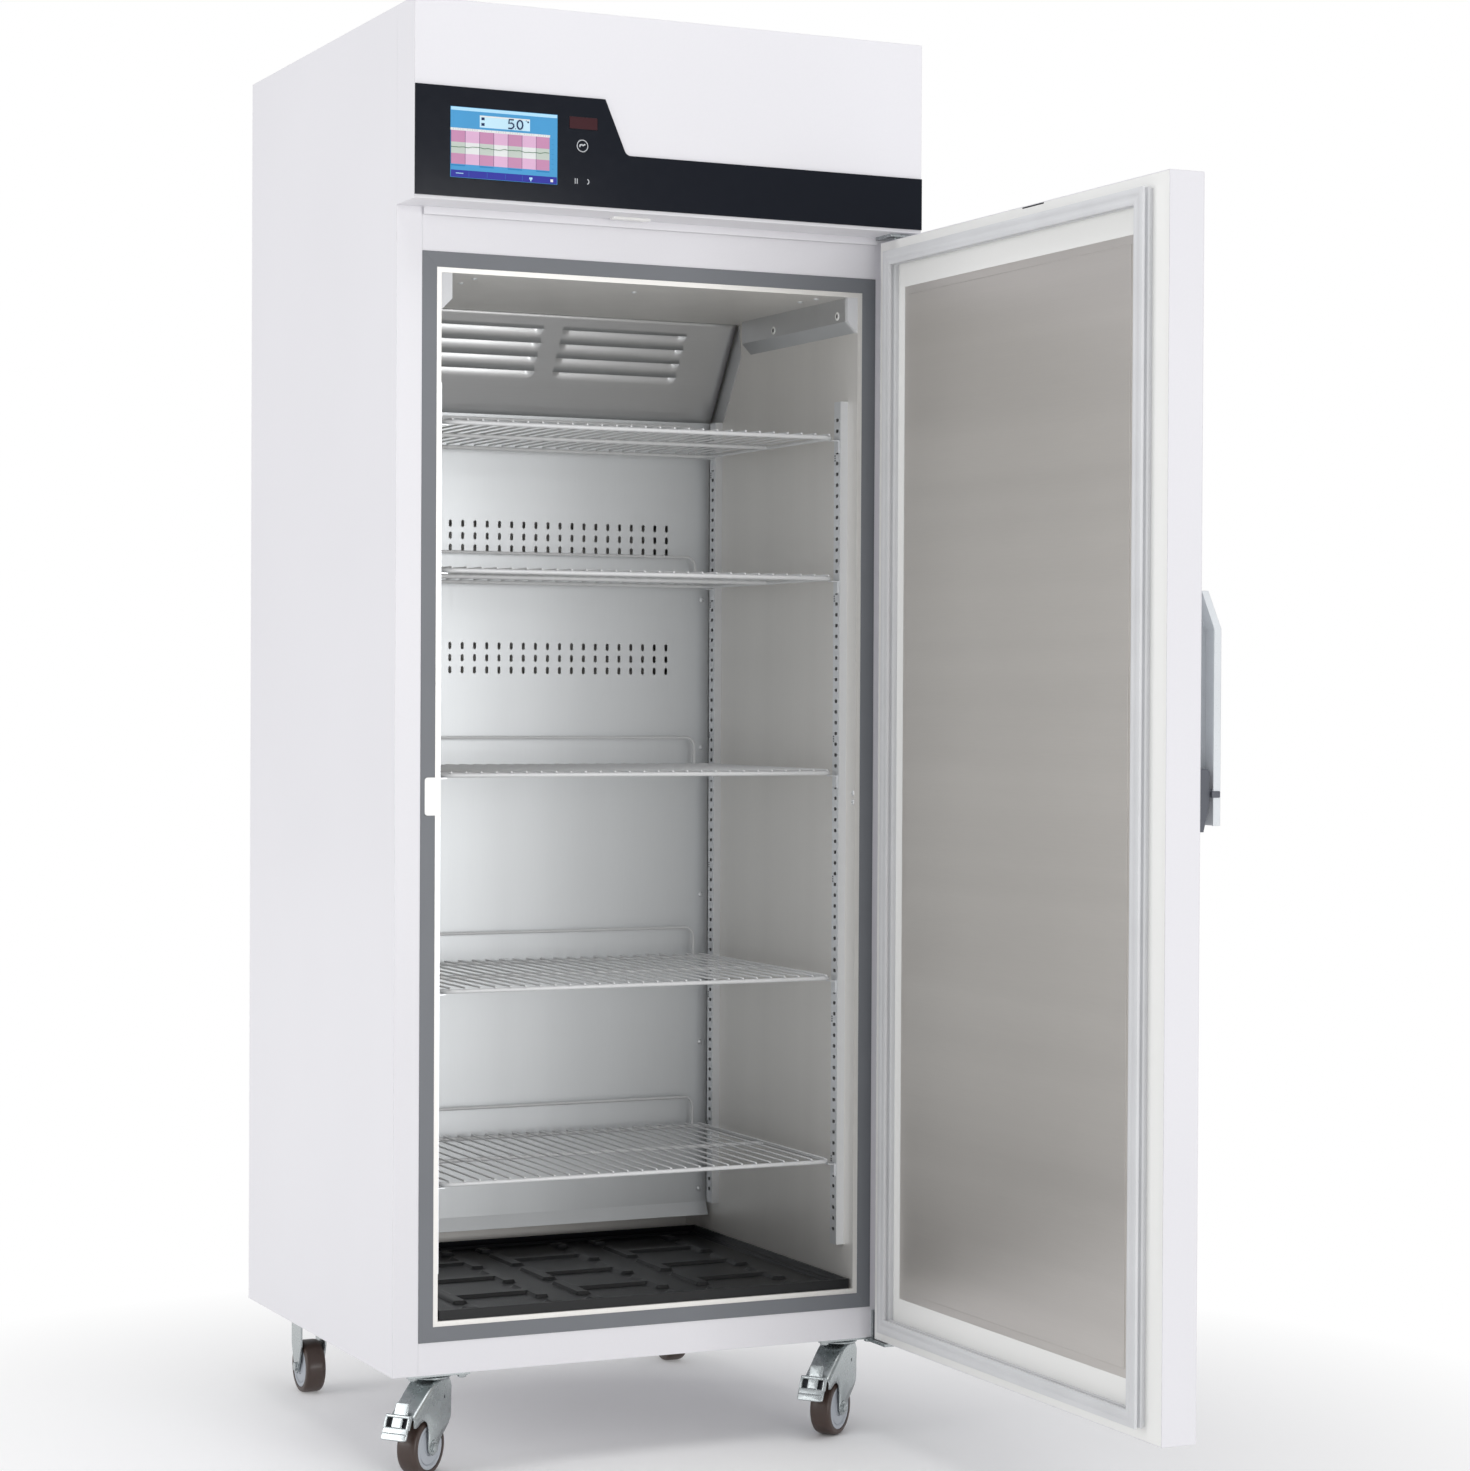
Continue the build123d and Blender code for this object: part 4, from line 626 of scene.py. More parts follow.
def pedal_parts():
    """Pads, bars and posts of a brake pedal along a slope, each with its material's number."""
    slope = Matrix.Translation(PEDAL_TOP) @ Matrix.Rotation(math.radians(-23.4), 4, "Y")

    def on_slope(down, across, out):
        """Matrix of a plate that faces outwards, a distance down the slope, across and out."""
        return np.array(slope @ Matrix.Translation((out, across, -down))
                        @ Matrix.Rotation(math.radians(90), 4, "Y"))

    yield repeat(pad(0.019, 0.0215, 0.0045, 0.0016), [on_slope(-0.005, 0, -0.0035)]), 0
    yield repeat(pad(0.005, 0.0405, 0.0065, 0.0018), [on_slope(0.0055, 0, 0)]), 0
    yield repeat(pad(0.017, 0.0165, 0.0030, 0.0012), [on_slope(0.0145, 0, 0.0008)]), 0
    yield repeat(pad(0.017, 0.0040, 0.0070, 0.0012),
                 [on_slope(0.0145, v, 0) for v in (-0.0180, 0.0180)]), 0
    # Dark plate behind the posts and middle pad: painted shade seen through the pedal's gaps
    yield repeat(pad(0.019, 0.0350, 0.0020, 0.0006), [on_slope(0.0145, 0, -0.0045)]), 1
    yield repeat(pad(0.018, 0.0405, 0.0038, 0.0016), [on_slope(0.0300, 0, 0.0015)]), 0
    yield repeat(pad(0.010, 0.0385, 0.0030, 0.0012), [on_slope(0.0345, 0, 0.0032)]), 0


class FRIDGE_OT_castors(bpy.types.Operator):
    """Pressed forks, axle bolts and brake pedals of the two front castors."""
    bl_idname = "fridge.castors"
    bl_label = "Front castors"

    def execute(self, context):
        race = ring(np.array([(24.6, 131.4), (27.0, 131.4), (28.2, 132.6), (28.2, 133.8),
                              (27.0, 135.0), (25.6, 135.2), (24.6, 135.2)]) / 1000, 48)
        for side, name in ((-1, "left"), (1, "right")):
            place = castor_place(side)
            node = f"front_{name}_fork"
            form = Form()
            form.put(repeat(hood(), [place]))
            made = form.piece(f"{node}_pressing", f"front_{name}_castor", ["zinc_plate"],
                              stands_for=[node])
            sheet = made.modifiers.new("Sheet", "SOLIDIFY")
            sheet.thickness = FORK_SHEET
            sheet.offset = -1.0
            bolts = Form()
            bolts.put(repeat(race, [place]))
            for way in (-1, 1):
                spot = (AXLE[0], way * (FORK_HALF + 0.0001), AXLE[1])
                for part in hex_bolt(*AXLE_BOLT):
                    bolts.put(repeat(part, [place @ m for m in at([spot], (0, way, 0))]))
                mark = repeat(pad(0.0022, 0.0048, 0.0004, 0.0001),
                              [place @ m for m in at([(FORK_MARK[0], way * FORK_HALF,
                                                      FORK_MARK[1])],
                                                     (0, way, 0))])
                bolts.put(mark, 1)
            bolts.piece(f"{node}_bolts", f"front_{name}_castor", ["zinc_plate", "dark_print"],
                        stands_for=[node])
            lever = Form()
            for part, number in pedal_parts():
                lever.put(repeat(part, [place]), number)
            pedal = f"front_{name}_pedal"
            lever.piece(f"{pedal}_pads", f"front_{name}_brake", ["zinc_plate", "dark_print"],
                        stands_for=[pedal])
        return {"FINISHED"}


def hex_bolt(radius, height):
    """A hexagon head with a chamfered face on a round washer, standing on Z zero."""
    head = turned(np.array([(0, 0.0), (radius, 0.0), (radius, height * 0.82),
                            (radius * 0.8, height), (0, height)]), 6)
    washer = turned(np.array([(0, 0.0), (radius * 1.45, 0.0), (radius * 1.45, height * 0.22),
                              (0, height * 0.22)]), 24)
    return washer, head


def screw_head(radius, height):
    """A domed screw head with a round socket: a quarter ellipse, then a step down at its middle."""
    angle = np.linspace(0, np.pi / 2 * 0.7, 5)
    dome = np.stack([radius * np.cos(angle), height * np.sin(angle)], -1)
    sunk = np.array([(radius * 0.36, height * 0.95), (radius * 0.3, height * 0.3),
                     (0, height * 0.3)])
    return turned(np.concatenate([[(0, 0.0)], dome, sunk]), 20)


class FRIDGE_OT_fasteners(bpy.types.Operator):
    """Bolts that hold the castors' plates and screws of the sheets inside."""
    bl_idname = "fridge.fasteners"
    bl_label = "Bolts and screws"

    def execute(self, context):
        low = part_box("castor_plates")[0]
        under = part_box("castor_plates")[1].z - CASTOR_PLATE
        spots = []
        for x, y in (SWIVEL_SPOT, REAR_SPOT):
            spots += [(side * x + a * 0.036, y + b * 0.027, under)
                      for side in (1, -1) for a in (-1, 1) for b in (-1, 1)]
        if low.z > under:
            raise RuntimeError("the castors' plates lie higher than their bolts")
        bolts = Form()
        for part in hex_bolt(*PLATE_BOLT):
            bolts.put(repeat(part, at(spots, (0, 0, -1))))
        bolts.piece("castor_bolts", "cabinet", ["zinc_plate"], smooth=False)

        head = screw_head(*SHEET_SCREW)
        ceiling = [(-0.254, 0.102, ROOF), (-0.255, 0.046, ROOF), (0.004, 0.086, ROOF),
                   (0.268, 0.084, ROOF), (0.272, 0.04, ROOF)]
        wall = [(0.32, 0.007, 0.934), (0.32, 0.007, 0.921)]
        panel = [(0.303, 0.5, 1.460 - 0.2335 * number) for number in range(6)]
        panel += [(-x, y, z) for x, y, z in panel]
        screws = Form()
        screws.put(repeat(head, at(ceiling, (0, 0, -1))))
        screws.put(repeat(head, at(wall, (-1, 0, 0))))
        screws.put(repeat(head, at([(-x, y, z) for x, y, z in wall], (1, 0, 0))))
        screws.put(repeat(head, at(panel, (0, -1, 0))))
        screws.piece("inner_screws", "cabinet", ["stainless_bright"])
        return {"FINISHED"}


class FRIDGE_OT_shelves(bpy.types.Operator):
    """The five wire shelves.

    The frame is a round bar bent to a rectangle with round corners, with one more bar across its
    middle. Straight wires lie on it and end just past its front. The rear wire rises in an
    upright loop with round corners.
    """
    bl_idname = "fridge.shelves"
    bl_label = "Wire shelves"

    def execute(self, context):
        sizes = context.scene.fridge_sizes
        wire, bar = sizes.wire, sizes.bar
        for number in range(1, 6):
            node = f"shelf_{number}"
            low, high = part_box(node)
            top = high.z - 0.042
            x, y0, y1 = high.x, low.y, high.y
            level = top - wire * 2 - bar
            single = tube(np.array([(0, y1 - 0.0045, top - wire), (0, (y0 + y1) / 2, top - wire),
                                    (0, y0 + 0.0035, top - wire),
                                    (0, y0 + 0.0010, top - wire * 1.3)]), wire, (1, 0, 0), 8)
            count = sizes.wire_count
            offsets = (np.arange(count) - (count - 1) / 2) * sizes.wire_pitch
            form = Form()
            form.put(repeat(single, at([(float(v), 0, 0) for v in offsets])))
            side, front, back = x - bar, y0 + bar + 0.001, y1 - bar - 0.003
            bend = 0.018
            in_x, in_front, in_back = side - bend, front + bend, back - bend
            frame_line = np.concatenate([
                corner((in_x, in_back), bend, 0, 90), corner((-in_x, in_back), bend, 90, 180),
                corner((-in_x, in_front), bend, 180, 270),
                corner((in_x, in_front), bend, 270, 360)])
            form.put(tube(lift(frame_line, 2, level), bar, (0, 0, 1), 10, closed=True))
            middle = (y0 + y1) / 2
            form.put(tube(np.array([(share * side, middle, level) for share in (-1, -0.3, 0.3, 1)]),
                          bar, (0, 1, 0), 10))
            half, tall, r = x - 0.0215, high.z - 0.0022, 0.014
            loop = np.concatenate([
                [(-half, top - 0.004)],
                corner((-half + r, tall - r), r, 180, 90, 7),
                corner((half - r, tall - r), r, 90, 0, 7),
                [(half, top - 0.004)]])
            form.put(tube(lift(loop, 1, y1 - 0.0023), 0.0022, (0, 1, 0), 10))
            form.piece(f"{node}_wires", node, ["wire_coat"],
                       stands_for=[node])
        return {"FINISHED"}


RAIL_WIDTH = 0.020
RAIL_DEPTH = 0.012
RAIL_SHEET = 0.0012


class FRIDGE_OT_rails(bpy.types.Operator):
    """Slotted shelf rails.

    The web is a column of cells. In each cell a superellipse hole and the cell's edge take their
    points at the same angles, so that quads join them, and the hole's wall goes back by the
    sheet's thickness.
    """
    bl_idname = "fridge.rails"
    bl_label = "Shelf rails"

    def execute(self, context):
        low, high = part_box("shelf_rails")
        pitch = context.scene.fridge_sizes.slot_pitch
        first = 0.022
        count = int((high.z - low.z - first * 2) / pitch) + 1
        wide, tall = RAIL_WIDTH / 2, pitch / 2
        knee = math.atan2(tall, wide)
        quarter = np.array([0, knee / 2, knee, (knee + math.pi / 2) / 2])
        angle = np.concatenate([quarter, [math.pi / 2], math.pi - quarter[:0:-1]])
        angle = np.concatenate([angle, angle + math.pi])
        c, s = np.cos(angle), np.sin(angle)
        reach = np.minimum(wide / np.abs(c).clip(1e-9), tall / np.abs(s).clip(1e-9))
        edge = np.stack([c * reach, s * reach], -1)
        hole = np.stack([0.0042 * np.sign(c) * np.abs(c) ** 0.6,
                         0.0026 * np.sign(s) * np.abs(s) ** 0.6], -1)
        cell = np.concatenate([lift(edge, 0, 0.0), lift(hole, 0, 0.0),
                               lift(hole, 0, RAIL_SHEET)])
        faces = [grid_faces(3, len(angle), False, True)]
        form = Form()
        for side in (-1, 1):
            face = side * (high.x - RAIL_DEPTH)
            wall = side * high.x
            flip = np.diag([side, 1.0, 1.0, 1.0])
            for y0 in (low.y, high.y - RAIL_WIDTH):
                middle = y0 + wide
                spots = [(face, middle, low.z + first + index * pitch)
                         for index in range(count)]
                form.put(repeat((cell, faces), [place @ flip for place in at(spots)]))
                web_low = low.z + first - tall
                web_high = low.z + first + (count - 1) * pitch + tall
                y1 = y0 + RAIL_WIDTH
                for z0, z1 in ((low.z, web_low), (web_high, high.z)):
                    form.put(quad((face, y0, z0), (face, y1, z0), (face, y1, z1), (face, y0, z1)))
                for y in (y0, y1):
                    form.put(quad((face, y, low.z), (wall, y, low.z), (wall, y, high.z),
                                  (face, y, high.z)))
                for z in (low.z, high.z):
                    form.put(quad((face, y0, z), (wall, y0, z), (wall, y1, z), (face, y1, z)))
                for index in range(6, count, 13):
                    z = low.z + first + (index + 0.5) * pitch
                    for step in (-1, 0, 1):
                        form.put(slab((min(face, face - side * 0.0001), middle + 0.0052,
                                       z + step * 0.0035 - 0.001),
                                      (max(face, face - side * 0.0001), middle + 0.0084,
                                       z + step * 0.0035 + 0.001)), 1)
        form.piece("slotted_rails", "cabinet", ["stainless_bright", "dark_print"],
                   smooth=False, weld=True, stands_for=["shelf_rails"])
        return {"FINISHED"}


# Cover in section (place from the front, height), and its louvres along the slope and across
COVER_TOP = (0.403, ROOF)
COVER_FOOT = (0.500, 1.506)
COVER_HALF = 0.316
COVER_SHEET = 0.0012
LOUVRE_SPANS = ((-0.210, -0.001), (0.028, 0.237))
LOUVRE_COUNT = 4
LOUVRE_START = 0.0245
LOUVRE_PITCH = 0.0242
LOUVRE_OPENING = 0.0135
LOUVRE_FADE = 0.014
CUT = 1e-4


class FRIDGE_OT_cover(bpy.types.Operator):
    """Sloped cover with two groups of pressed louvres.

    The sheet is a grid along X and along its slope. Below each cut the depth is the full depth
    times (1 - t) to the power 1.6, t running from 0 at the cut to 1 at the lip, and it fades to nothing
    over the ends with a smooth step. Quads that span a cut are left out, so the slots are open.
    """
    bl_idname = "fridge.cover"
    bl_label = "Louvred cover"

    def execute(self, context):
        depth = context.scene.fridge_sizes.louvre_depth
        top, foot = np.array(COVER_TOP), np.array(COVER_FOOT)
        length = float(np.linalg.norm(foot - top))
        down = (foot - top) / length
        inward = np.array([-down[1], down[0]])
        cuts = LOUVRE_START + np.arange(LOUVRE_COUNT) * LOUVRE_PITCH
        rows = np.concatenate([[0, 0.006, 0.0175]] + [
            np.concatenate([[cut - CUT, cut + CUT],
                            cut + LOUVRE_OPENING * np.linspace(0.08, 1, 9)])
            for cut in cuts] + [np.linspace(0.116, length, 8)])
        rows = np.unique(rows)
        columns = np.unique(np.concatenate([np.linspace(-COVER_HALF, COVER_HALF, 60)] + [
            np.concatenate([np.linspace(a, a + 0.02, 14), np.linspace(b - 0.02, b, 14)])
            for a, b in LOUVRE_SPANS]))
        v, u = np.meshgrid(rows, columns, indexing="ij")
        press = np.zeros_like(u)
        for a, b in LOUVRE_SPANS:
            reach = np.clip(np.minimum(u - a, b - u) / LOUVRE_FADE, 0, 1)
            fade = reach ** 2 * (3 - 2 * reach)
            for cut in cuts:
                t = (v - cut) / LOUVRE_OPENING
                inside = (t > 0) & (t < 1)
                press += np.where(inside, depth * fade * (1 - np.clip(t, 0, 1)) ** 1.6, 0)
        y = top[0] + down[0] * v + inward[0] * press
        z = top[1] + down[1] * v + inward[1] * press
        if inward[0] < 0:
            raise RuntimeError("the louvres would stand out of the cover")
        points = np.stack([u, y, z], -1).reshape(-1, 3)
        faces = grid_faces(len(rows), len(columns))
        deep = press.ravel()[faces]
        narrow = np.ptp(v.ravel()[faces], axis=1) < 2.5 * CUT
        open_cut = narrow & (deep.max(1) - deep.min(1) > 0.0004)
        form = Form()
        form.put((points, [faces[~open_cut]]))
        made = form.piece("louvred_cover", "cabinet", ["stainless_level"],
                          closed=False, stands_for=["evaporator_cover"])
        sheet = made.modifiers.new("Sheet", "SOLIDIFY")
        sheet.thickness = COVER_SHEET
        sheet.offset = -1.0
        return {"FINISHED"}


# Slots of the duct panel in two groups of rows, with half sizes and the cut of their corners
VENT_COLUMNS = 25
VENT_ROWS = 3
VENT_ROW_PITCH = 0.0185
VENT_HEIGHTS = (1.131, 1.318)
VENT_HALF = (0.0025, 0.0055)
VENT_NICK = 0.0016
DUCT_SHEET = 0.001
DUCT_LIP_DROP = 0.020


def nearest(values, middles):
    """Distance of each value to the nearest of the middles."""
    return np.abs(values[..., None] - middles).min(-1)


class FRIDGE_OT_duct(bpy.types.Operator):
    """Perforated panel in front of the air duct, with its folded lip.

    The sheet is a grid whose lines run along the sides and ends of every slot. Quads inside a
    slot are left out, and at its four corners a triangle stays, so the ends are rounded. Below
    the fold the sheet leans forward in proportion to its drop.
    """
    bl_idname = "fridge.duct"
    bl_label = "Perforated duct panel"

    def execute(self, context):
        low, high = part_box("air_duct_panel")
        face, fold = high.y - DUCT_SHEET, low.z + DUCT_LIP_DROP
        number = np.arange(VENT_COLUMNS) - (VENT_COLUMNS - 1) / 2
        across = number * context.scene.fridge_sizes.vent_pitch
        step = (np.arange(VENT_ROWS) - (VENT_ROWS - 1) / 2) * VENT_ROW_PITCH
        upward = (np.array(VENT_HEIGHTS)[:, None] + step).ravel()

        def lines(first, last, middles, half):
            """Grid lines over a range, four of them through each slot."""
            reach = np.array([-half, VENT_NICK - half, half - VENT_NICK, half])
            return np.sort(np.concatenate([first, last, (middles[:, None] + reach).ravel()]))

        columns = lines([low.x], [high.x], across, VENT_HALF[0])
        rows = lines([low.z, fold], [high.z], upward, VENT_HALF[1])
        z, x = np.meshgrid(rows, columns, indexing="ij")
        y = face - (fold - z).clip(0) * (face - low.y) / DUCT_LIP_DROP
        points = np.stack([x, y, z], -1).reshape(-1, 3)
        faces = grid_faces(len(rows), len(columns))
        corners = points[faces]
        beside = nearest(corners[..., 0].mean(1), across)
        above = nearest(corners[..., 2].mean(1), upward)
        inside = (beside < VENT_HALF[0]) & (above < VENT_HALF[1])
        tip = inside & (beside > VENT_HALF[0] - VENT_NICK) & (above > VENT_HALF[1] - VENT_NICK)
        reach = nearest(corners[tip][..., 0], across) + nearest(corners[tip][..., 2], upward)
        kept = (reach.argmin(1)[:, None] + np.array([1, 2, 3])) % 4
        form = Form()
        form.put((points, [faces[~inside], np.take_along_axis(faces[tip], kept, 1)]))
        made = form.piece("perforated_panel", "cabinet", ["stainless_pale"],
                          closed=False, smooth=False, stands_for=["air_duct_panel"])
        sheet = made.modifiers.new("Sheet", "SOLIDIFY")
        sheet.thickness = DUCT_SHEET
        sheet.offset = -1.0
        return {"FINISHED"}


GASKET_DEPTH = 0.0171


class FRIDGE_OT_gasket(bpy.types.Operator):
    """Door gasket: one ribbed section carried round the door, mitred at the corners."""
    bl_idname = "fridge.gasket"
    bl_label = "Door gasket"

    def execute(self, context):
        low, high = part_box("door_gasket")
        deep = high.x - low.x
        section = np.array([
            (2, 0), (2, 3.2), (0.6, 4.4), (0, 6.2), (0.8, 8), (2.6, 8.8), (4.4, 9.8),
            (4.2, 11.2), (2, 12), (0.4, 13), (0, 14.6), (0.5, 16.4), (2.2, 17.1), (7.6, 17.1),
            (8.6, 16.5), (13.4, 16.5), (14.4, 17.1), (19.4, 17.1), (21, 16.4), (21.5, 14.6),
            (21.2, 13), (20, 12), (17.8, 11.2), (17.6, 9.8), (19.4, 8.8), (21, 8), (21.5, 6.2),
            (21.4, 4.4), (20, 3.2), (20, 0)]) / 1000
        w, h = section[:, 0], section[:, 1] * deep / GASKET_DEPTH
        y = np.stack([low.y + w, high.y - w, high.y - w, low.y + w])
        z = np.stack([low.z + w, low.z + w, high.z - w, high.z - w])
        x = np.broadcast_to(high.x - h, y.shape)
        form = Form()
        form.put((np.stack([x, y, z], -1).reshape(-1, 3),
                  [grid_faces(4, len(section), True, True)]))
        form.piece("ribbed_gasket", "door", ["gasket_vinyl"],
                   stands_for=["door_gasket"])
        return {"FINISHED"}


# Heights of the tray's base, rim, step inside it and raised lands, and the lands' spacing
TRAY_BASE = 0.003
TRAY_RIM = 0.007
TRAY_STEP = 0.004
LAND_HEIGHT = 0.0045
LAND_SPAN = (0.188, 0.128)


class FRIDGE_OT_tray(bpy.types.Operator):
    """Black floor tray.

    Its height over the floor is a base plus a rim, plus a lower step inside the rim, plus raised
    lands between channels. Every edge is a smooth step over a few millimetres.
    """
    bl_idname = "fridge.tray"
    bl_label = "Floor tray"

    def execute(self, context):
        low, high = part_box("floor_tray")
        across = np.linspace(low.x, high.x, 212)
        along = np.linspace(low.y, high.y, 182)
        x, y = np.meshgrid(across, along, indexing="ij")

        def step(value, start_at, width=0.003):
            """Smooth step from 0 to 1 over a width."""
            t = np.clip((value - start_at) / width, 0, 1)
            return t * t * (3 - 2 * t)

        edge = np.minimum(np.minimum(x - low.x, high.x - x), np.minimum(y - low.y, high.y - y))
        height = TRAY_RIM * (1 - step(edge, 0.004)) + TRAY_STEP * (1 - step(edge, 0.012))
        inner = step(edge, 0.034)
        span_x, span_y = LAND_SPAN
        cx = np.abs(x / span_x - np.round(x / span_x)) * span_x
        shifted = (y - (low.y + high.y) / 2) / span_y
        cy = np.abs(shifted - np.round(shifted)) * span_y
        leg = step(-np.abs(cx - 0.062), -0.011) * step(-cy, -0.05)
        bridge = step(-cx, -0.062) * step(-cy, -0.011)
        height += LAND_HEIGHT * inner * np.maximum(leg, bridge)
        z = low.z + TRAY_BASE + height.clip(0, high.z - low.z - TRAY_BASE)
        top = np.stack([x, y, z], -1)
        skirt = top.copy()
        skirt[..., 2] = low.z
        rows, columns = x.shape
        points = np.concatenate([top.reshape(-1, 3), skirt.reshape(-1, 3)])
        faces = grid_faces(rows, columns)
        around = np.concatenate([np.arange(columns), np.arange(1, rows) * columns + columns - 1,
                                 (rows - 1) * columns + np.arange(columns - 2, -1, -1),
                                 np.arange(rows - 2, 0, -1) * columns])
        after = np.roll(around, -1)
        sides = np.stack([around, after, after + rows * columns, around + rows * columns], -1)
        form = Form()
        form.put((points, [faces, sides, faces[:, ::-1] + rows * columns]))
        form.piece("ribbed_tray", "cabinet", ["tray_moulding"],
                   stands_for=["floor_tray"])
        return {"FINISHED"}


SCREEN_TONES = {
    # Paler band along the top of the picture
    "screen_pale": "#A9D6EE",
    # Value field
    "screen_field": "#BCDDEC",
    # Digits and small icons
    "screen_ink": "#182A52",
    # White strip and pale chart bands
    "screen_white": "#D9DCDB",
    # Light pink chart bands
    "screen_pink": "#D3AAC8",
    # Deeper pink chart bands
    "screen_rose": "#BC86A8",
    # Grey-green middle of every second band
    "screen_grey": "#B9C2BA",
    # Trend line
    "screen_green": "#3F6B4C",
    # Blue blocks under the chart
    "screen_steel": "#2C7EB4",
    # Menu bar along the bottom
    "screen_menu": "#2F3296",
}


class FRIDGE_OT_screen(bpy.types.Operator):
    """Picture on the touch screen: thin lit tiles in front of its ground.

    The trend line's height is a sum of three sines of the place along it.
    """
    bl_idname = "fridge.screen"
    bl_label = "Screen picture"

    def execute(self, context):
        for name, colour in SCREEN_TONES.items():
            finish(name, colour, 0.3, scale=1500, shade=0.02, spread=0.02, bump=0.0,
                   glow=0.08, level=0.15)
        low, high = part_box("touch_display")
        left, right, base, top = low.x, high.x, low.z, high.z
        wide, tall = right - left, top - base
        names = list(SCREEN_TONES)
        form = Form()

        def tile(u0, u1, v0, v1, tone, layer=1):
            """A tile between shares of the screen's width and, from the top, of its height."""
            front = low.y - 0.00006 * layer
            form.put(slab((left + u0 * wide, front, top - v1 * tall),
                          (left + u1 * wide, low.y + 0.0002, top - v0 * tall)),
                     names.index(tone))

        def stroke(points, radius, tone, layer=3):
            """A flat line of round section through points given in the same shares."""
            shares = np.asarray(points, float)
            path = np.stack([left + shares[:, 0] * wide,
                             np.full(len(shares), low.y - 0.00006 * layer),
                             top - shares[:, 1] * tall], -1)
            form.put(tube(path, radius, (0, 1, 0), 6), names.index(tone))

        tile(0.004, 0.996, 0.004, 0.05, "screen_pale")
        tile(0.27, 0.74, 0.10, 0.27, "screen_field")
        tile(0.27, 0.74, 0.10, 0.12, "screen_white", 2)
        tile(0.285, 0.315, 0.125, 0.165, "screen_ink", 2)
        tile(0.285, 0.315, 0.205, 0.245, "screen_ink", 2)
        stroke([(0.585, 0.125), (0.545, 0.125), (0.54, 0.18), (0.565, 0.172), (0.585, 0.19),
                (0.588, 0.22), (0.57, 0.25), (0.537, 0.25)], 0.0011, "screen_ink")
        tile(0.600, 0.608, 0.243, 0.256, "screen_ink", 3)
        angle = np.linspace(0, 2 * np.pi, 15)
        stroke(np.stack([0.645 + 0.026 * np.cos(angle), 0.188 + 0.062 * np.sin(angle)], -1),
               0.0011, "screen_ink")
        stroke([(0.70, 0.13), (0.705, 0.122), (0.71, 0.13)], 0.0004, "screen_ink")
        tile(0.715, 0.73, 0.13, 0.155, "screen_ink", 2)
        tile(0.0, 0.93, 0.30, 0.335, "screen_white")
        for index in range(7):
            u0 = 0.004 + index * 0.1325
            u1 = min(u0 + 0.1325, 0.925)
            odd = index % 2
            tile(u0, u1, 0.335, 0.50, "screen_pink" if odd else "screen_rose")
            tile(u0, u1, 0.50, 0.66, "screen_white" if odd else "screen_grey")
            tile(u0, u1, 0.66, 0.81, "screen_pink" if odd else "screen_rose")
            if not odd:
                tile(u0, u1, 0.82, 0.838, "screen_steel", 2)
            tile(u0 - 0.0016, u0 + 0.0016, 0.335, 0.81, "screen_ink", 2)
            for tick in range(1, 6):
                place = u0 + tick * 0.022
                tile(place - 0.0007, place + 0.0007, 0.305, 0.325, "screen_ink", 2)
        share = np.linspace(0.006, 0.922, 60)
        wave = (0.565 + 0.006 * np.sin(share * 19) + 0.004 * np.sin(share * 47)
                + 0.003 * np.sin(share * 83 + 1))
        stroke(np.stack([share, wave], -1), 0.0004, "screen_green")
        for index in range(7):
            tile(0.945, 0.965, 0.36 + index * 0.07, 0.365 + index * 0.07, "screen_steel", 2)
        tile(0.004, 0.996, 0.895, 0.996, "screen_menu")
        tile(0.05, 0.12, 0.935, 0.945, "screen_pale", 2)
        for place in (0.17, 0.34, 0.51, 0.67):
            tile(place, place + 0.002, 0.91, 0.98, "screen_steel", 2)
        tile(0.735, 0.765, 0.925, 0.955, "screen_pale", 2)
        tile(0.745, 0.755, 0.955, 0.98, "screen_pale", 2)
        tile(0.935, 0.96, 0.93, 0.97, "screen_white", 2)
        form.piece("screen_picture", "cabinet", names, smooth=False)
        return {"FINISHED"}


KEY_RING = 0.0079
SIGN_HEIGHT = 1.778
SIGN_HALF = 0.0035


class FRIDGE_OT_keys(bpy.types.Operator):
    """White ring and sign of the touch key and the two small signs below it."""
    bl_idname = "fridge.keys"
    bl_label = "Signs on the glass"

    def execute(self, context):
        low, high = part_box("power_key")
        x, z, y = (low.x + high.x) / 2, (low.z + high.z) / 2, low.y
        turn = np.linspace(0, 2 * np.pi, 40, endpoint=False)
        circle = np.stack([x + KEY_RING * np.cos(turn), np.full(40, y),
                           z + KEY_RING * np.sin(turn)], -1)
        form = Form()
        form.put(tube(circle, 0.0006, (0, 1, 0), 8, closed=True))
        blob = np.array([(-0.004, -0.0016), (-0.0034, 0.0012), (-0.0006, 0.0016),
                         (0.0008, 0.0004), (0.0022, 0.0014), (0.0038, 0.0022)])
        form.put(tube(np.stack([x + blob[:, 0], np.full(6, y), z + blob[:, 1]], -1), 0.0011,
                      (0, 1, 0), 8))
        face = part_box("display_glass")[0].y
        for sx in (-0.1535, -0.1505):
            stroke = [(sx, face, SIGN_HEIGHT + way * SIGN_HALF) for way in (-1, 0, 1)]
            form.put(tube(stroke, 0.0006, (0, 1, 0), 6))
        bent = corner((-0.1365, SIGN_HEIGHT), 0.0034, -70, 70, 7)
        form.put(tube(lift(bent, 1, face), 0.0007, (0, 1, 0), 6))
        form.piece("glass_signs", "cabinet", ["white_print"])
        return {"FINISHED"}


PLUG_FACE = 0.305
PLUG_HEIGHT = 1.628
PLUG_PLACES = (0.036, 0.249)


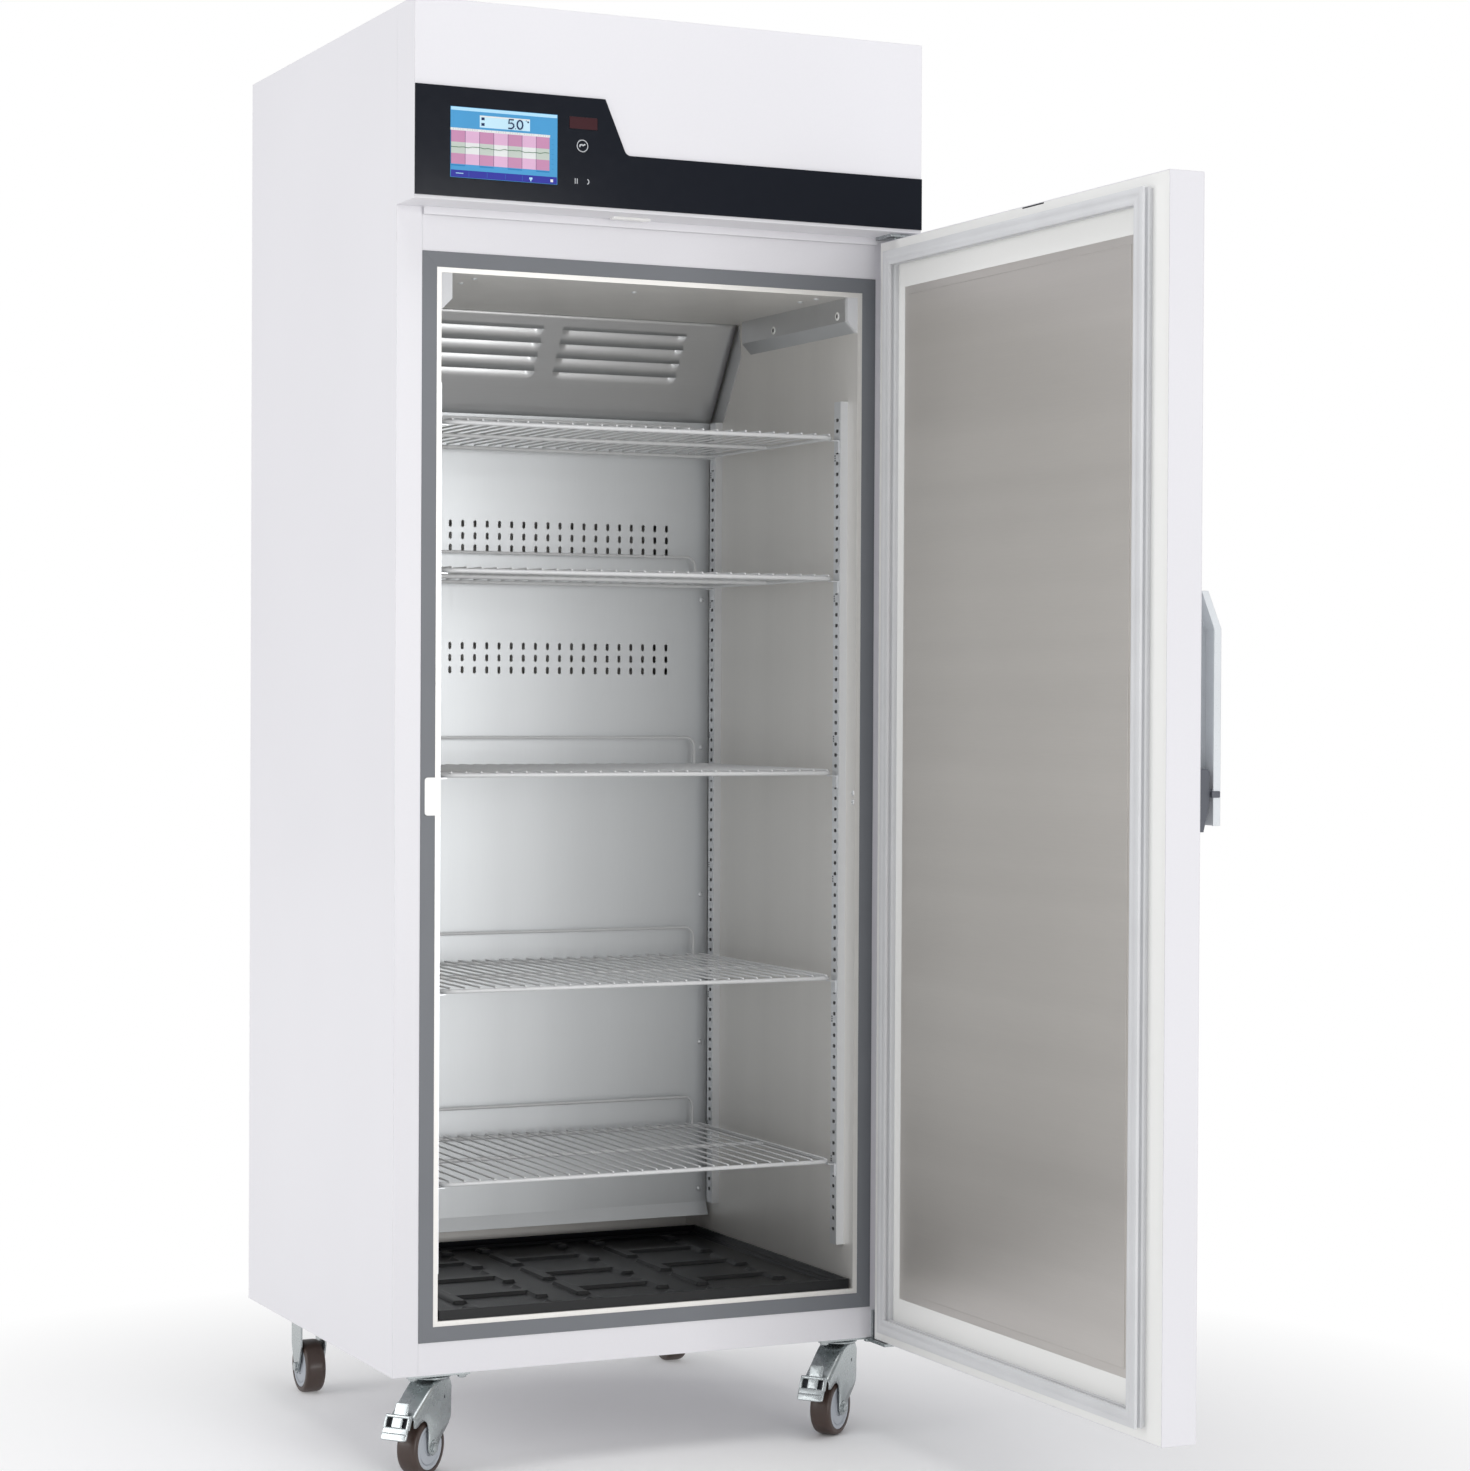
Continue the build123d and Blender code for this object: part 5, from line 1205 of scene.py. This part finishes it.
class FRIDGE_OT_plugs(bpy.types.Operator):
    """White ringed plugs in the strips under the roof, each with a dark middle painted as shade in its
    hole.
    """
    bl_idname = "fridge.plugs"
    bl_label = "Plugs"

    def execute(self, context):
        rim = ring(np.array([(3.4, 0), (6.2, 0), (6.2, 0.8), (5.2, 1.4), (3.4, 1.2)]) / 1000, 28)
        middle = turned(np.array([(0, 0), (3.4, 0), (3.4, 0.5), (0, 0.5)]) / 1000, 28)
        for side, name in ((-1, "left"), (1, "right")):
            spots = [(side * PLUG_FACE, place, PLUG_HEIGHT) for place in PLUG_PLACES]
            form = Form()
            form.put(repeat(rim, at(spots, (-side, 0, 0))))
            # Dark disc sunk in each ring: painted shade in the plug's hole
            form.put(repeat(middle, at(spots, (-side, 0, 0))), 1)
            form.piece(f"{name}_plugs", "cabinet",
                       ["white_plastic", "dark_print"])
        return {"FINISHED"}


CATCH_SIZE = (0.0125, 0.0085, 0.0030, 0.0010)
CATCH_INSET = 0.0072
CATCH_HEIGHT = 0.048


class FRIDGE_OT_handle(bpy.types.Operator):
    """Small dark catch on the handle's base, at the height of the lever's pin."""
    bl_idname = "fridge.handle"
    bl_label = "Handle catch"

    def execute(self, context):
        base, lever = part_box("handle_base"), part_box("handle_lever")
        spot = (lever[1].x - CATCH_INSET, lever[0].y - 0.0002, base[0].z + CATCH_HEIGHT)
        form = Form()
        form.put(repeat(pad(*CATCH_SIZE), at([spot], (0, -1, 0))))
        form.piece("handle_catch", "door", ["dark_moulding"])
        return {"FINISHED"}


# Camera fit: picture size, focal length and principal point in pixels, turns in radians, place
PICTURE = (1470, 1471)
FOCAL = 3337.2514
CENTRE = (734.2463, 736.1559)
YAW, PITCH, ROLL = 0.4402, -0.0125, 0.0051
CAMERA_SPOT = (-1.90222, -4.3049, 1.07677)
SENSOR = 36.0
# Power of the light above as a share of the side light's
TOP_SHARE = 0.6


class FRIDGE_OT_stage(bpy.types.Operator):
    """Floor, lights, surroundings and the camera at the photograph's angle."""
    bl_idname = "fridge.stage"
    bl_label = "Stage"

    def execute(self, context):
        settings = context.scene.fridge_stage
        self.floor()
        self.surroundings(settings, context.scene.fridge_finishes)
        self.lights(settings)
        self.camera(context.scene)
        context.scene.view_settings.view_transform = "Standard"
        return {"FINISHED"}

    def floor(self):
        """A pale floor that fades to plain white away from the object."""
        material, output = start("studio_floor")
        tree = material.node_tree
        place = add(tree, "ShaderNodeTexCoord")
        far = add(tree, "ShaderNodeVectorMath", {0: place.outputs["Object"]},
                  operation="LENGTH")
        fade = add(tree, "ShaderNodeMapRange", {"Value": far.outputs["Value"],
                                               "From Min": 0.5, "From Max": 1.5})
        grain = add(tree, "ShaderNodeTexNoise", {"Vector": place.outputs["Object"],
                                                "Scale": 60.0})
        pale = add(tree, "ShaderNodeMapRange", {"Value": grain.outputs["Fac"],
                                               "To Min": 0.985, "To Max": 1.0})
        matt = add(tree, "ShaderNodeBsdfDiffuse", {"Color": pale.outputs["Result"]})
        white = add(tree, "ShaderNodeEmission", {"Color": (1, 1, 1, 1), "Strength": 1.0})
        mixed = add(tree, "ShaderNodeMixShader", {0: fade.outputs["Result"],
                                                 1: matt.outputs["BSDF"],
                                                 2: white.outputs["Emission"]})
        tree.links.new(mixed.outputs["Shader"], output.inputs["Surface"])
        edge = np.linspace(-1, 1, 25)
        x, y = np.meshgrid(15 * edge ** 3, 15 * edge ** 3, indexing="ij")
        mesh = bpy.data.meshes.new("floor")
        points = np.stack([x, y, np.zeros_like(x)], -1).reshape(-1, 3)
        mesh.from_pydata(points.tolist(), [], grid_faces(25, 25)[:, ::-1].tolist())
        mesh.materials.append(material)
        made = bpy.data.objects.new("floor", mesh)
        bpy.context.scene.collection.objects.link(made)

    def surroundings(self, settings, tones):
        """Soft light from all sides, and plain white where the camera sees past the object."""
        world = bpy.data.worlds.new("studio")
        bpy.context.scene.world = world
        world.use_nodes = True
        tree = world.node_tree
        tree.nodes.clear()
        output = add(tree, "ShaderNodeOutputWorld")
        kind = add(tree, "ShaderNodeLightPath")
        soft = add(tree, "ShaderNodeBackground", {"Color": tuple(tones.sky) + (1.0,),
                                                 "Strength": settings.ambient})
        white = add(tree, "ShaderNodeBackground", {"Color": (1, 1, 1, 1), "Strength": 1.0})
        seen = add(tree, "ShaderNodeMath", {0: kind.outputs["Is Camera Ray"],
                                           1: kind.outputs["Is Transmission Ray"]},
                   operation="MAXIMUM")
        mixed = add(tree, "ShaderNodeMixShader", {0: seen.outputs["Value"],
                                                 1: soft.outputs["Background"],
                                                 2: white.outputs["Background"]})
        tree.links.new(mixed.outputs["Shader"], output.inputs["Surface"])

    def lights(self, settings):
        """A large light ahead, right of the open door's plane, one from the left, one above."""
        aim = Vector((0.0, 0.0, 1.0))
        rows = (("front", (1.6, -9.0, 1.3), 3.4, settings.front_power),
                ("side", (-4.6, 0.3, 1.8), 2.6, settings.side_power),
                ("top", (-0.3, -0.9, 4.4), 2.4, settings.side_power * TOP_SHARE))
        for name, spot, size, power in rows:
            light = bpy.data.lights.new(name, "AREA")
            light.shape = "SQUARE"
            light.size = size
            light.energy = power
            made = bpy.data.objects.new(name, light)
            made.location = spot
            made.rotation_euler = (aim - Vector(spot)).to_track_quat("-Z", "Y").to_euler()
            bpy.context.scene.collection.objects.link(made)

    def camera(self, scene):
        """Camera placed by the photograph's fit: yaw, pitch, roll, place and focal length."""
        ahead = Vector((math.sin(YAW), math.cos(YAW), 0))
        right = Vector((math.cos(YAW), -math.sin(YAW), 0))
        up = Vector((0, 0, 1))
        front = ahead * math.cos(PITCH) + up * math.sin(PITCH)
        above = up * math.cos(PITCH) - ahead * math.sin(PITCH)
        side = right * math.cos(ROLL) + above * math.sin(ROLL)
        head = above * math.cos(ROLL) - right * math.sin(ROLL)
        data = bpy.data.cameras.new("photo_view")
        data.sensor_fit = "HORIZONTAL"
        wide, tall = PICTURE
        data.sensor_width = SENSOR
        data.lens = FOCAL * SENSOR / wide
        data.shift_x = (wide / 2 - CENTRE[0]) / wide
        data.shift_y = (CENTRE[1] - tall / 2) / wide
        data.clip_start, data.clip_end = 0.1, 60.0
        made = bpy.data.objects.new("photo_view", data)
        turn = Matrix((side, head, -front)).transposed().to_4x4()
        made.matrix_world = Matrix.Translation(CAMERA_SPOT) @ turn
        scene.collection.objects.link(made)
        scene.camera = made


class FRIDGE_PT_panel(bpy.types.Panel):
    """The settings, and a button for each piece."""
    bl_idname = "FRIDGE_PT_panel"
    bl_label = "Refrigerator"
    bl_space_type = "VIEW_3D"
    bl_region_type = "UI"
    bl_category = "Refrigerator"

    def draw(self, context):
        layout = self.layout
        for group in (context.scene.fridge_finishes, context.scene.fridge_sizes,
                      context.scene.fridge_stage):
            for name in group.__annotations__:
                layout.prop(group, name)
        for operator in OPERATORS:
            layout.operator(operator.bl_idname)


OPERATORS = (FRIDGE_OT_stage, FRIDGE_OT_finishes, FRIDGE_OT_wheels, FRIDGE_OT_castors,
             FRIDGE_OT_fasteners, FRIDGE_OT_shelves, FRIDGE_OT_rails, FRIDGE_OT_cover,
             FRIDGE_OT_duct, FRIDGE_OT_gasket, FRIDGE_OT_tray, FRIDGE_OT_screen, FRIDGE_OT_keys,
             FRIDGE_OT_plugs, FRIDGE_OT_handle)
CLASSES = (FridgeFinishes, FridgeSizes, FridgeStage) + OPERATORS + (FRIDGE_PT_panel,)


def register():
    """Register every class and hang the settings on the scene."""
    for item in CLASSES:
        bpy.utils.register_class(item)
    bpy.types.Scene.fridge_finishes = PointerProperty(type=FridgeFinishes)
    bpy.types.Scene.fridge_sizes = PointerProperty(type=FridgeSizes)
    bpy.types.Scene.fridge_stage = PointerProperty(type=FridgeStage)


def unregister():
    """Undo what register does."""
    del bpy.types.Scene.fridge_stage
    del bpy.types.Scene.fridge_sizes
    del bpy.types.Scene.fridge_finishes
    for item in reversed(CLASSES):
        bpy.utils.unregister_class(item)


def main():
    """Dress the part piece by piece."""
    register()
    bpy.ops.fridge.stage()
    bpy.ops.fridge.finishes()
    bpy.ops.fridge.wheels()
    bpy.ops.fridge.castors()
    bpy.ops.fridge.fasteners()
    bpy.ops.fridge.shelves()
    bpy.ops.fridge.rails()
    bpy.ops.fridge.cover()
    bpy.ops.fridge.duct()
    bpy.ops.fridge.gasket()
    bpy.ops.fridge.tray()
    bpy.ops.fridge.screen()
    bpy.ops.fridge.keys()
    bpy.ops.fridge.plugs()
    bpy.ops.fridge.handle()


if __name__ == "__main__":
    main()
